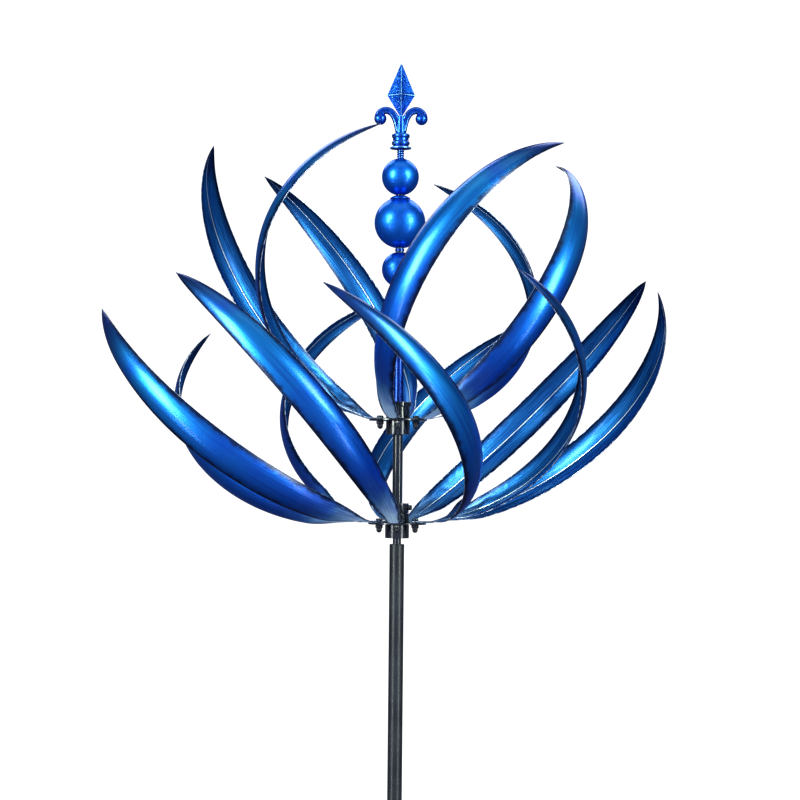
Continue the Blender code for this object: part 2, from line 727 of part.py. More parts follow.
def make_stake():
    """A spike under the pole, and a step bar at the ground line with a prong through each end."""
    tail = [(0, 0), (SPIGOT_RADIUS, 0), (SPIGOT_RADIUS, POLE_BOTTOM_Z - GAP)]
    spike = spike_profile(POLE_BOTTOM_Z - GAP, POLE_RADIUS, SPIKE_LENGTH, SPIKE_POINT_LENGTH)
    make_object("stake_spike", turned(tail + spike[1:]), "pole_black")
    shape = bmesh.new()
    bmesh.ops.create_cube(shape, size=1)
    bmesh.ops.scale(shape, vec=STEP_BAR_SIZE, verts=shape.verts)
    bar_height = STEP_BAR_SIZE[2]
    bar = make_object("step_bar", shape, "pole_black", (0, 0, bar_height / 2))
    prong_top = bar_height + PRONG_STUB
    holes = {
        "middle": (0, POLE_RADIUS),
        "right": (PRONG_OFFSET, PRONG_RADIUS),
        "left": (-PRONG_OFFSET, PRONG_RADIUS),
    }
    for word, (x, radius) in holes.items():
        cutter = make_hole_cutter(f"step_bar_hole_{word}", radius + GAP, CUTTER_LENGTH, (x, 0, 0))
        combine(bar, cutter, "DIFFERENCE")
        if x:
            prong = spike_profile(prong_top, PRONG_RADIUS, prong_top + PRONG_LENGTH, PRONG_POINT_LENGTH)
            make_object(f"stake_prong_{word}", turned(prong, 16), "pole_black", (x, 0, 0))


def main():
    clear_scene()
    make_rotor("lower", LOWER_TIER, LOWER_DISC_Z, LOWER_BARREL_SPAN, flange=False)
    make_rotor("upper", UPPER_TIER, UPPER_DISC_Z, UPPER_BARREL_SPAN, flange=True)
    make_spindle()
    make_sleeves(make_collar())
    make_ball("ball_lower", BALL_SMALL_RADIUS, BALL_LOWER_Z)
    make_ball("ball_large", BALL_LARGE_RADIUS, BALL_LARGE_Z)
    make_ball("ball_top", BALL_TOP_RADIUS, BALL_TOP_Z)
    make_ball_spacers()
    make_finial()
    make_pole()
    make_pole_plug()
    make_stake()


main()
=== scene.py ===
"""The looks of the garden windmill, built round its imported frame. Metres, +Z up, -Y is the front."""

import math

import bmesh
import bpy
import numpy as np
from mathutils import Matrix, Vector, noise


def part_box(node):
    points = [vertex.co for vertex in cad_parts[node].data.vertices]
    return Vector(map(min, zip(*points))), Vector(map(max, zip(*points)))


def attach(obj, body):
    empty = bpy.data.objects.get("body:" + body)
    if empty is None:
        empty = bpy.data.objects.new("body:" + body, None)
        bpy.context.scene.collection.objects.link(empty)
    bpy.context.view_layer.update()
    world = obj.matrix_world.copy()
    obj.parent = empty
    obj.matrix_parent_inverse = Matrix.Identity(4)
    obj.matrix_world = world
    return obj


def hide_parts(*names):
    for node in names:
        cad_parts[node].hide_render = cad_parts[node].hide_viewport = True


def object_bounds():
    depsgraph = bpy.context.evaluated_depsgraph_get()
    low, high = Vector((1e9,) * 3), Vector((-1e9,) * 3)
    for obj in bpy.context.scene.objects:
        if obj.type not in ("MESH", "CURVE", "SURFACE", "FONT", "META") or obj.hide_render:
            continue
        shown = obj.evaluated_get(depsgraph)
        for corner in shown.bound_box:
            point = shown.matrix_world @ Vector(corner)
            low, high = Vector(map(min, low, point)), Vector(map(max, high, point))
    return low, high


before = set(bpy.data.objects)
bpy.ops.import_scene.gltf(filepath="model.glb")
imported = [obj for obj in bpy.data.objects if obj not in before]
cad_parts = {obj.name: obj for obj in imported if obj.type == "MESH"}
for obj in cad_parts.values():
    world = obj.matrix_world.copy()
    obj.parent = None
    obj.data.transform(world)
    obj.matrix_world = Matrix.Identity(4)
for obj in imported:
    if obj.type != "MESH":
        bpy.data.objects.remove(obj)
cad_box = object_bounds()

MM = 0.001
GAP = 0.3 * MM
TURN = 2 * math.pi
FRONT = -90  # the front's direction in degrees, counted from +X

# Blades, as the frame has them: a flat root, then a leaf-shaped trough along one circular arc
SHEET = 0.8 * MM
ROOT_RADIUS = 6.5 * MM
LEAF_WIDTH = 38 * MM
WIDEST_AT = 0.45
SWELL_POWER = 2.5
TAPER_POWER = 0.7
TROUGH_HALF_ANGLE = math.radians(42)
FLAT_HALF_ANGLE = math.radians(1)
FORMING_LENGTH = 60 * MM
TIP_WIDTH = 1.6 * MM
HOLE_RADIUS = 2.3 * MM
HOLE_STEPS = 40

# For each blade: its bolt, the turn of its root, the rise of its leaf and its share of the full length
TIERS = {
    "upper": {
        "root": 15 * MM,
        "bend_radius": 182 * MM,
        "length": 445 * MM,
        "lean": math.radians(34.5),
        "bolts": (0, 1, 2, 3, 4, 5),
        "turns": (-20, -15, -13, -14, -19.5, -21),
        "rises": (27, 19, 11.5, 10.5, 14.5, 21),
        "reaches": (1, 1, 1, 1, 1, 1),
    },
    "lower": {
        "root": 20 * MM,
        "bend_radius": 212 * MM,
        "length": 450 * MM,
        "lean": math.radians(-48.5),
        "bolts": (4, 5, 5, 0, 1, 1, 2, 3, 3),
        "turns": (3, -28, 23, -10, -23.5, 18, -8, -34, 24),
        "rises": (20.5, 1, 5, 27, 7, 13, 9, 20, 7),
        "reaches": (1, 1, 0.99, 0.92, 1, 1, 1, 1, 1),
    },
}
BOLT_COUNT = 6

# How finely a blade is meshed, and the marks that forming left in it
ROOT_END_STEPS = 12
ROOT_STEPS = 9
STEPS_ALONG = 230
RIM_STEPS = 3
EDGE_INSET = 0.22 * MM
CREASE_WIDTH = 0.55 * MM
CREASE_DEPTH = 0.34 * MM
PLEAT_DEPTH = 0.6 * MM
PLEAT_LENGTH = 95 * MM
DENT_DEPTH = 0.22 * MM
DENT_PITCH = 6 * MM
DENT_SIDE = 0.66  # the dented strip's place between the crease (0) and the edge (1)
PLEAT_SWING_PITCH = 25 * MM
WAVE_DEPTH = 0.35 * MM
WAVE_PITCH = 75 * MM
SMALLEST_BEND = 1.3 * SHEET
UPPER_SEED = 20  # where the upper tier's numbers for the noise start


# Places that come from the frame


def middle_of(node):
    low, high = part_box(node)
    return (low + high) / 2


def tier_level(tier):
    """The height of the middle of a tier's hub disc."""
    return middle_of(f"{tier}_hub_disc").z


# Small tools


def smooth_step(value):
    value = min(max(value, 0), 1)
    return value * value * (3 - 2 * value)


def bell(value, centre, width):
    return math.exp(-(((value - centre) / width) ** 2))


def polar(radius, azimuth):
    """A point at an azimuth in degrees, counted from the front towards +X."""
    angle = math.radians(azimuth + FRONT)
    return radius * math.cos(angle), radius * math.sin(angle)


def put_in_scene(name, data):
    item = bpy.data.objects.new(name, data)
    bpy.context.collection.objects.link(item)
    return item


def add_object(name, mesh, materials, body, replaced=(), location=(0, 0, 0), turn=0):
    """Links a finished mesh as a piece and says what it rides on, replaces and is painted with."""
    for material in materials:
        mesh.materials.append(material)
    mesh.transform(Matrix.Translation(location) @ Matrix.Rotation(turn, 4, "Z"))
    piece = put_in_scene(name, mesh)
    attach(piece, body)
    if replaced:
        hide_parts(*replaced)
    return piece


def stand_in(coat, node, mesh, materials, body, location=(0, 0, 0), turn=0):
    """Adds the piece that takes the place of one of the frame's nodes, named after its coat."""
    return add_object(f"{coat}_{node}", mesh, materials, body, [node], location, turn)


def mesh_from(name, points, faces, groups=None):
    mesh = bpy.data.meshes.new(name)
    mesh.from_pydata([tuple(point) for point in points], [], faces)
    if groups is not None:
        mesh.polygons.foreach_set("material_index", groups)
    mesh.shade_smooth()
    mesh.update()
    return mesh


def skin(name, rows, ring=False, outward=True, capped=False):
    """A mesh over rows of points round an axis. A row of one point closes the skin like a pole."""
    steps = max(len(row) for row in rows)
    points, loops, faces = [], [], []
    for row in rows:
        start = len(points)
        points += row
        loops.append([start] * steps if len(row) == 1 else list(range(start, start + steps)))
    followers = loops[1:] + loops[:1] if ring else loops[1:]
    for upper, lower in zip(loops, followers):
        for i in range(steps):
            j = (i + 1) % steps
            corners = list(dict.fromkeys((upper[i], lower[i], lower[j], upper[j])))
            if len(corners) > 2:
                faces.append(corners[::-1] if outward else corners)
    if capped:
        faces += [tuple(loops[0]), tuple(loops[-1])[::-1]]
    return mesh_from(name, points, faces)


def on_circle(radius, angle, height):
    return radius * math.cos(angle), radius * math.sin(angle), height


def turned_mesh(name, profile, steps=96, ring=True):
    """A mesh of revolution from (radius, height) points. A ring's outline closes on itself."""
    rows = []
    for radius, height in profile:
        count = steps if radius > 0 else 1
        rows.append([on_circle(radius, TURN * i / steps, height) for i in range(count)])
    return skin(name, rows, ring)


CORNER_EASE = (0, 0.35, 0.65, 1)  # places on the curve that replaces a corner
CORNER_POINTS = len(CORNER_EASE)
MOST_EASE = 0.45  # the share of an edge that one eased corner may take
FLAT_FACE_WEIGHT = 80  # how much a large face counts in the shading of its corners


def rounded(profile, radius, ring=True):
    """The outline with each corner eased. The ends of an open outline stay."""
    eased = []
    count = len(profile)
    for i, corner in enumerate(profile):
        if not ring and i in (0, count - 1):
            eased.append(corner)
            continue
        here = Vector(corner)
        before = Vector(profile[i - 1]) - here
        after = Vector(profile[(i + 1) % count]) - here
        near = here + before * min(radius / before.length, MOST_EASE)
        far = here + after * min(radius / after.length, MOST_EASE)
        for t in CORNER_EASE:
            point = near * (1 - t) ** 2 + here * 2 * t * (1 - t) + far * t * t
            eased.append((max(point.x, 0), point.y))
    return eased


def tube_profile(outer, inner, bottom, top, ease=0.4 * MM):
    return rounded([(outer, top), (outer, bottom), (inner, bottom), (inner, top)], ease)


def evaluated(mesh, **modifiers):
    """The mesh after a modifier of each kind, with the given settings."""
    holder = put_in_scene("holder", mesh)
    for kind, settings in modifiers.items():
        modifier = holder.modifiers.new(kind, kind)
        for name, value in settings.items():
            setattr(modifier, name, value)
    seen = holder.evaluated_get(bpy.context.evaluated_depsgraph_get())
    result = bpy.data.meshes.new_from_object(seen)
    bpy.data.objects.remove(holder)
    return result


def numbers_of(items, attribute, width, kind=np.float64):
    """An attribute of every item of a mesh as rows of numbers."""
    values = np.zeros(width * len(items), kind)
    items.foreach_get(attribute, values)
    return values.reshape(-1, width)


def mesh_of_shape(name, shape):
    mesh = bpy.data.meshes.new(name)
    shape.to_mesh(mesh)
    shape.free()
    return mesh


def pierced(mesh, centres, radius, length=20 * MM):
    """The mesh with round holes along Z."""
    for x, y in centres:
        outline = [(0, length), (radius, length), (radius, -length), (0, -length)]
        plug = turned_mesh("plug", outline, HOLE_STEPS, ring=False)
        plug.transform(Matrix.Translation((x, y, 0)))
        cutter = put_in_scene("cutter", plug)
        mesh = evaluated(mesh, BOOLEAN={"operation": "DIFFERENCE", "solver": "FAST", "object": cutter})
        bpy.data.objects.remove(cutter)
    return mesh


def even_shading(piece):
    """Keeps the flats flat beside eased corners."""
    piece.modifiers.new("even shading", "WEIGHTED_NORMAL").weight = FLAT_FACE_WEIGHT


# Shader nodes


def feed(tree, socket, value):
    if isinstance(value, bpy.types.NodeSocket):
        tree.links.new(value, socket)
    else:
        socket.default_value = value


def add(tree, kind, inputs=None, **settings):
    """A shader node. Each of its inputs is a plain value or the socket that feeds it."""
    node = tree.nodes.new(f"ShaderNode{kind}")
    for name, value in settings.items():
        setattr(node, name, value)
    for name, value in (inputs or {}).items():
        feed(tree, node.inputs[name], value)
    return node


def calc(tree, operation, *values):
    node = add(tree, "Math", operation=operation)
    for socket, value in zip(node.inputs, values):
        feed(tree, socket, value)
    return node.outputs["Value"]


def spread(tree, value, low, high, to_low=0, to_high=1, ease="SMOOTHSTEP"):
    """A value carried from one range to another."""
    inputs = {"Value": value, "From Min": low, "From Max": high, "To Min": to_low, "To Max": to_high}
    return add(tree, "MapRange", inputs, interpolation_type=ease).outputs["Result"]


def grain(tree, vector, scale, detail=2, stretch=(1, 1, 1)):
    """Noise from 0 to 1 with a scale in features for each metre, stretched along an axis."""
    placed = add(tree, "Mapping", {"Vector": vector, "Scale": stretch}).outputs["Vector"]
    inputs = {"Vector": placed, "Scale": scale, "Detail": detail}
    return add(tree, "TexNoise", inputs).outputs["Fac"]


def blend_of(tree, share, first, second, mode="MIX"):
    """The second colour over the first one."""
    inputs = {"Fac": share}
    node = add(tree, "MixRGB", inputs, blend_type=mode)
    for name, colour in (("Color1", first), ("Color2", second)):
        feed(tree, node.inputs[name], colour if isinstance(colour, bpy.types.NodeSocket) else (*colour, 1))
    return node.outputs["Color"]


def laid_over(tree, body, tone, value, low, high, to_low=0, to_high=1):
    """The body's colour with a tone over it, as a value runs from one limit to another."""
    return blend_of(tree, spread(tree, value, low, high, to_low, to_high), body, tone)


def ramp(tree, factor, stops):
    """Colours at places from 0 to 1."""
    node = add(tree, "ValToRGB", {"Fac": factor})
    elements = node.color_ramp.elements
    elements[0].position, elements[1].position = stops[0][0], stops[-1][0]
    for place, _ in stops[1:-1]:
        elements.new(place)
    for element, (_, colour) in zip(elements, stops):
        element.color = (*colour, 1)
    return node.outputs["Color"]


def bumps(tree, layers):
    """A normal roughened by layers of (height socket, depth in metres)."""
    normal = None
    for height, depth in layers:
        inputs = {"Height": height, "Distance": depth, "Strength": 1.0}
        if normal is not None:
            inputs["Normal"] = normal
        normal = add(tree, "Bump", inputs).outputs["Normal"]
    return normal


def start_material(name, metallic, coat=0.0, coat_roughness=0.05, candy=False):
    """A Principled material. Candy paint has a tinted coat and darkens light that grazes it."""
    material = bpy.data.materials.new(name)
    material.use_nodes = True
    tree = material.node_tree
    shader = tree.nodes["Principled BSDF"]
    shader.inputs["Metallic"].default_value = metallic
    shader.inputs["Coat Weight"].default_value = coat
    shader.inputs["Coat Roughness"].default_value = coat_roughness
    if candy:
        shader.inputs["Coat Tint"].default_value = CANDY_TINT
        shader.inputs["Specular Tint"].default_value = CANDY_EDGE
    return material, tree, shader


def finish_material(tree, shader, colour, roughness, layers):
    feed(tree, shader.inputs["Base Color"], colour)
    feed(tree, shader.inputs["Roughness"], roughness)
    feed(tree, shader.inputs["Normal"], bumps(tree, layers))


# Blade paint

CANDY_TINT = (0.8, 0.95, 1.0, 1)
CANDY_EDGE = (0.12, 0.3, 0.75, 1)
CANDY_METALLIC = 0.94
FLAKE_GLINT_GAIN = 2.2  # how much brighter than its paint a flake's painted glint is
FLAKE_SCALE = 2400
FLAKE_DEPTH = 0.006 * MM
# painted shade: the near black laid over the blades' edges
EDGE_PAINTED_SHADE = (0.004, 0.01, 0.04)
# painted highlight: the pale line along the crease of the hollow face
CREASE_PAINTED_HIGHLIGHT = (0.85, 0.95, 1.0)

# Paint from the root (0) to the tip (1). Towards the tip it darkens to near black: painted shade. In the
# outer tones the stop at 0.72 is greener where highlights fall: a painted highlight tint.
OUTER_TONES = [
    (0.0, (0.5, 0.6, 0.74)),
    (0.06, (0.38, 0.5, 0.68)),
    (0.13, (0.1, 0.24, 0.5)),
    (0.24, (0.003, 0.1, 0.49)),
    (0.48, (0.004, 0.155, 0.53)),
    (0.72, (0.008, 0.215, 0.52)),
    (0.88, (0.01, 0.075, 0.24)),
    (1.0, (0.014, 0.018, 0.045)),
]
INNER_TONES = [
    (0.0, (0.3, 0.38, 0.5)),
    (0.06, (0.16, 0.25, 0.42)),
    (0.14, (0.03, 0.13, 0.36)),
    (0.25, (0.024, 0.17, 0.5)),
    (0.8, (0.028, 0.18, 0.5)),
    (0.9, (0.012, 0.04, 0.15)),
    (1.0, (0.012, 0.016, 0.04)),
]


def blade_coordinates(tree):
    """The blade's own map in metres, its share from root to tip and its share from edge to edge."""
    metres = add(tree, "UVMap", uv_map="metres").outputs["UV"]
    shares = add(tree, "UVMap", uv_map="shares").outputs["UV"]
    split = add(tree, "SeparateXYZ", {"Vector": shares})
    across = calc(tree, "ABSOLUTE", calc(tree, "SUBTRACT", split.outputs["Y"], 1))
    return metres, split.outputs["X"], across


def outer_paint():
    """Candy blue over a metal flake: painted shade darkens the edges and the tip, a greener tone is painted
    where highlights fall, and it is pale where the root was formed.
    """
    material, tree, shader = start_material("blade_outer_blue", CANDY_METALLIC, 0.55, 0.24, candy=True)
    metres, along, across = blade_coordinates(tree)
    body = ramp(tree, along, OUTER_TONES)
    cloud = grain(tree, metres, 16, 4)
    body = laid_over(tree, body, (0.003, 0.055, 0.46), cloud, 0.46, 0.66, 0, 0.55)
    streak = grain(tree, metres, 9, 4, (1, 60, 1))
    body = laid_over(tree, body, (0.002, 0.04, 0.24), streak, 0.35, 0.6, 0.4, 0)
    # Painted shade: the edges go near black, along a ragged line.
    ragged_edge_shade = calc(tree, "ADD", across, spread(tree, grain(tree, metres, 90, 3), 0.3, 0.7, -0.07, 0.07))
    body = laid_over(tree, body, EDGE_PAINTED_SHADE, ragged_edge_shade, 0.62, 0.94, 0, 0.96)
    feed(tree, shader.inputs["Metallic"], spread(tree, along, 0.02, 0.2, 0.4, CANDY_METALLIC))
    flake = grain(tree, metres, FLAKE_SCALE, 1)
    peel = grain(tree, metres, 420, 1)
    roughness = spread(tree, calc(tree, "ADD", cloud, flake), 0.7, 1.4, 0.34, 0.46)
    layers = [(streak, 0.015 * MM), (peel, 0.008 * MM), (flake, FLAKE_DEPTH)]
    finish_material(tree, shader, body, roughness, layers)
    return material


def inner_paint():
    """The same blue brushed along the blade, with painted shade at the edges, the tip and beside the
    crease, and a painted highlight line along the crease.
    """
    material, tree, shader = start_material("blade_inner_blue", CANDY_METALLIC, 0.25, 0.2, candy=True)
    metres, along, across = blade_coordinates(tree)
    body = ramp(tree, along, INNER_TONES)
    brush = grain(tree, metres, 14, 5, (1, 70, 1))
    fine_brush = grain(tree, metres, 30, 3, (1, 90, 1))
    body = laid_over(tree, body, (0.002, 0.025, 0.13), brush, 0.36, 0.58, 0.8, 0)
    body = laid_over(tree, body, (0.03, 0.32, 0.58), fine_brush, 0.5, 0.7, 0, 0.7)
    # Painted shade at the edges and beside the crease, and a painted highlight line along the crease.
    body = laid_over(tree, body, EDGE_PAINTED_SHADE, across, 0.64, 0.97, 0, 0.95)
    body = laid_over(tree, body, (0.004, 0.015, 0.09), across, 0.03, 0.14, 0.75, 0)
    body = laid_over(tree, body, CREASE_PAINTED_HIGHLIGHT, across, 0.016, 0.036, 1, 0)
    flake = grain(tree, metres, FLAKE_SCALE, 1)
    layers = [(brush, 0.035 * MM), (fine_brush, 0.015 * MM), (flake, FLAKE_DEPTH)]
    finish_material(tree, shader, body, spread(tree, brush, 0.3, 0.7, 0.3, 0.46), layers)
    return material


def edge_paint():
    """The cut edge of the sheet, where the paint is thin and rubbed pale."""
    material, tree, shader = start_material("blade_edge_pale", 0.9, 0.4, 0.1)
    metres, along, _ = blade_coordinates(tree)
    wear = grain(tree, metres, 160, 4)
    body = laid_over(tree, (0.1, 0.16, 0.34), (0.62, 0.68, 0.8), wear, 0.4, 0.6)
    # Painted shade: the edge darkens towards the tip.
    body = laid_over(tree, body, (0.02, 0.03, 0.07), along, 0.86, 1.0, 0, 0.85)
    roughness = spread(tree, wear, 0.3, 0.7, 0.25, 0.42)
    finish_material(tree, shader, body, roughness, [(wear, 0.03 * MM)])
    return material


# Other finishes, on the piece's own coordinates

HOLLOW_SHADE_GAIN = 0.3  # how bright the painted shade in a hollow is beside the dark tone
CLOUD_GAIN = 1.7  # how much brighter than its colour the black finish is where it is cloudy


def own_coordinates(tree):
    return add(tree, "TexCoord").outputs["Object"]


def scaled(colour, gain):
    return tuple(min(gain * share, 1) for share in colour)


def painted(name, colour, dark, roughness, flake_depth, cloud_scale=30, flake_scale=1500, wear_and_highlight=None):
    """Metallic paint with a fine flake that has painted glints, a cloudy tone and, if asked for, pale
    ridges that are part rubbed wear, part painted highlight, and painted shade in the hollows.
    """
    material, tree, shader = start_material(name, CANDY_METALLIC, 0.3, 0.16, candy=True)
    place = own_coordinates(tree)
    cloud = grain(tree, place, cloud_scale, 4)
    flake = grain(tree, place, flake_scale, 2)
    body = laid_over(tree, colour, dark, cloud, 0.35, 0.65, 0.6, 0)
    # Painted glints: brighter specks where the flake noise is high.
    body = laid_over(tree, body, scaled(colour, FLAKE_GLINT_GAIN), flake, 0.52, 0.7, 0, 0.6)
    if wear_and_highlight:
        # Pale ridges: partly rubbed wear, partly painted highlight. Dark hollows: painted shade.
        edges = add(tree, "NewGeometry").outputs["Pointiness"]
        body = laid_over(tree, body, wear_and_highlight, edges, 0.506, 0.53, 0, 0.95)
        body = laid_over(tree, body, scaled(dark, HOLLOW_SHADE_GAIN), edges, 0.45, 0.492, 0.85, 0)
    mottle = calc(tree, "ADD", cloud, flake)
    layers = [(cloud, 0.1 * MM), (flake, flake_depth)]
    finish_material(tree, shader, body, spread(tree, mottle, 0.7, 1.4, *roughness), layers)
    return material


def black_finish(name, colour, roughness, coat, scratches=0.3, peel_depth=0.003 * MM):
    """Black over steel: a soft orange peel, hair scratches and paler ridges where it is rubbed."""
    material, tree, shader = start_material(name, 0.2, coat, 0.05)
    place = own_coordinates(tree)
    peel = grain(tree, place, 700, 2)
    cloud = grain(tree, place, 45, 4)
    hair = grain(tree, place, 160, 5, (1, 1, 0.04))
    edges = add(tree, "NewGeometry").outputs["Pointiness"]
    body = laid_over(tree, colour, scaled(colour, CLOUD_GAIN), cloud, 0.35, 0.7)
    body = laid_over(tree, body, (0.1, 0.11, 0.13), hair, 0.64, 0.76, 0, scratches)
    body = laid_over(tree, body, (0.16, 0.18, 0.22), edges, 0.54, 0.62, 0, 0.4)
    mottle = calc(tree, "ADD", cloud, peel)
    layers = [(peel, peel_depth), (hair, peel_depth)]
    finish_material(tree, shader, body, spread(tree, mottle, 0.7, 1.4, *roughness), layers)
    return material


def turned_steel(name):
    """Bright steel with fine rings from the lathe."""
    material, tree, shader = start_material(name, 1.0)
    place = own_coordinates(tree)
    split = add(tree, "SeparateXYZ", {"Vector": place})
    squares = [calc(tree, "MULTIPLY", split.outputs[axis], split.outputs[axis]) for axis in ("X", "Y")]
    radius = calc(tree, "SQRT", calc(tree, "ADD", *squares))
    rings = calc(tree, "SINE", calc(tree, "MULTIPLY", radius, TURN / (0.25 * MM)))
    smear = grain(tree, place, 300, 3)
    body = laid_over(tree, (0.32, 0.33, 0.35), (0.62, 0.63, 0.66), smear, 0.35, 0.65)
    roughness = spread(tree, smear, 0.3, 0.7, 0.2, 0.36)
    finish_material(tree, shader, body, roughness, [(rings, 0.004 * MM)])
    return material


OUTER_PAINT = outer_paint()
INNER_PAINT = inner_paint()
EDGE_PAINT = edge_paint()
BALL_PAINT = painted("ball_blue", (0.01, 0.14, 0.56), (0.008, 0.09, 0.5), (0.36, 0.44), 0.012 * MM)
SLEEVE_PAINT = painted(
    "sleeve_blue", (0.01, 0.05, 0.27), (0.01, 0.02, 0.13), (0.26, 0.36), 0.012 * MM, cloud_scale=120
)
FINIAL_PAINT = painted(
    "finial_blue",
    (0.005, 0.08, 0.42),
    (0.004, 0.03, 0.3),
    (0.24, 0.4),
    0.06 * MM,
    cloud_scale=160,
    flake_scale=750,
    # the ridges' pale tone: partly rubbed wear, partly painted highlight
    wear_and_highlight=(0.3, 0.62, 0.9),
)
HUB_BLACK = black_finish("hub_black_gloss", (0.003, 0.003, 0.004), (0.16, 0.26), 1.0, 0.12)
FASTENER_BLACK = black_finish("fastener_black_zinc", (0.004, 0.004, 0.005), (0.2, 0.32), 0.7, 0.1)
POLE_BLACK = black_finish("pole_black_satin", (0.008, 0.009, 0.011), (0.34, 0.46), 0.2, 0.3, 0.01 * MM)
STEEL = turned_steel("bearing_bright_steel")


# Blades


def leaf_width(share):
    """The blade's width at a share of its arc: full at WIDEST_AT, a point at the tip."""
    root_width = 2 * ROOT_RADIUS
    if share < WIDEST_AT:
        return root_width + (LEAF_WIDTH - root_width) * (1 - (1 - share / WIDEST_AT) ** SWELL_POWER)
    toward_tip = (share - WIDEST_AT) / (1 - WIDEST_AT)
    return max(LEAF_WIDTH * (1 - toward_tip**2) ** TAPER_POWER, TIP_WIDTH)


def blade_stations(tier, reach):
    """(distance from the bolt, width) along the blade: round end, flat root, then the leaf."""
    stations = []
    for step in range(1, ROOT_END_STEPS + 1):
        angle = math.radians(90 * step / ROOT_END_STEPS)
        stations.append((-ROOT_RADIUS * math.cos(angle), 2 * ROOT_RADIUS * math.sin(angle)))
    for step in range(1, ROOT_STEPS):
        stations.append((tier["root"] * step / ROOT_STEPS, 2 * ROOT_RADIUS))
    length = reach * tier["length"] - SHEET / 2
    for step in range(STEPS_ALONG + 1):
        share = step / STEPS_ALONG
        stations.append((tier["root"] + share * length, leaf_width(share)))
    return stations


def blade_frame(tier, rise, distance):
    """Point, tangent and face normal at a distance from the bolt, with +X pointing outwards."""
    up, side = Vector((0, 0, 1)), Vector((0, 1, 0))
    past_root = distance - tier["root"]
    if past_root <= 0:
        return Vector((distance, 0, 0)), Vector((1, 0, 0)), up
    angle = past_root / tier["bend_radius"]
    outward = Vector((math.cos(rise), 0, math.sin(rise)))
    inward = Vector((-math.sin(rise), 0, math.cos(rise)))
    bend = inward * math.cos(tier["lean"]) + side * math.sin(tier["lean"])
    along = outward * math.sin(angle) + bend * (1 - math.cos(angle))
    point = Vector((tier["root"], 0, 0)) + tier["bend_radius"] * along
    tangent = outward * math.cos(angle) + bend * math.sin(angle)
    full_normal = bend * math.cos(angle) - outward * math.sin(angle)
    flat_normal = (up - tangent * up.dot(tangent)).normalized()
    roll = math.atan2(flat_normal.cross(full_normal).dot(tangent), flat_normal.dot(full_normal))
    roll *= smooth_step(past_root / FORMING_LENGTH)
    return point, tangent, Matrix.Rotation(roll, 3, tangent) @ flat_normal


def across_shares(half_width):
    """Places from edge to edge as shares of the half width, closer together at the edges and the crease."""
    inset = min(EDGE_INSET / half_width, 0.08)
    crease = [min(k * CREASE_WIDTH / half_width, 0.03 * k) for k in (0.5, 1, 1.8)]
    side = [*crease, *(0.17 + 0.093 * k for k in range(9)), 1 - inset, 1]
    return [-share for share in reversed(side)] + [0] + side


def sheet_marks(past_root, share, side, seed):
    """How far forming pushed the sheet towards its hollow face: pleats at the root, dents and waves."""
    free = smooth_step(past_root / (0.3 * PLEAT_LENGTH))
    fade = bell(past_root, 0.42 * PLEAT_LENGTH, 0.36 * PLEAT_LENGTH)
    swing = noise.noise(Vector((past_root / PLEAT_SWING_PITCH, seed, 0)))
    pleats = PLEAT_DEPTH * fade * math.cos(math.pi * (2.1 * side + 1.7 * swing + seed)) * (1 - side**4)
    dent_side = DENT_SIDE if seed % 2 else -DENT_SIDE
    roughness = noise.noise(Vector((past_root / DENT_PITCH, 7 * side, seed)))
    dents = DENT_DEPTH * bell(side, dent_side, 0.16) * bell(share, 0.3, 0.2) * roughness * 2
    waves = WAVE_DEPTH * noise.noise(Vector((past_root / WAVE_PITCH, side, seed + 0.5)))
    return free * (pleats + dents + waves)


def crease_mark(past_root, across):
    """The groove that the folding press left along the middle of the hollow face."""
    return CREASE_DEPTH * bell(across, 0, CREASE_WIDTH) * smooth_step(past_root / FORMING_LENGTH)


def blade_loop(width, half_angle, past_root, share, seed):
    """One section of the sheet: the outer face, a round rim, the hollow face and the other rim.
    Each point is (across, height, place across in metres, share across)."""
    half = max(width / 2 - SHEET / 2, SMALLEST_BEND * math.sin(half_angle))
    bend = half / math.sin(half_angle)
    middle = bend * (1 - math.cos(half_angle)) / 2
    sides = across_shares(half)
    outer, inner = [], []
    for side in sides:
        angle = side * half_angle
        mark = sheet_marks(past_root, share, side, seed)
        groove = crease_mark(past_root, bend * angle)
        for face, radius in ((outer, bend - mark), (inner, bend - SHEET - mark + groove)):
            across, height = radius * math.sin(angle), bend - radius * math.cos(angle) - middle
            face.append((across, height, bend * angle, side))
    far_rim = rim(outer[-1], inner[-1], half_angle)
    return outer + far_rim + inner[::-1] + rim(inner[0], outer[0], -half_angle)


def rim(first, last, angle):
    """A half round from one face's edge to the other's."""
    way = math.copysign(1, angle)
    outward = Vector((math.cos(angle), math.sin(angle))) * way
    start, end = Vector(first[:2]), Vector(last[:2])
    points = []
    for step in range(1, RIM_STEPS + 1):
        t = math.pi * step / (RIM_STEPS + 1)
        place = (start + end) / 2 + (start - end) / 2 * math.cos(t) + outward * SHEET / 2 * math.sin(t)
        points.append((*place, first[2], first[3]))
    return points


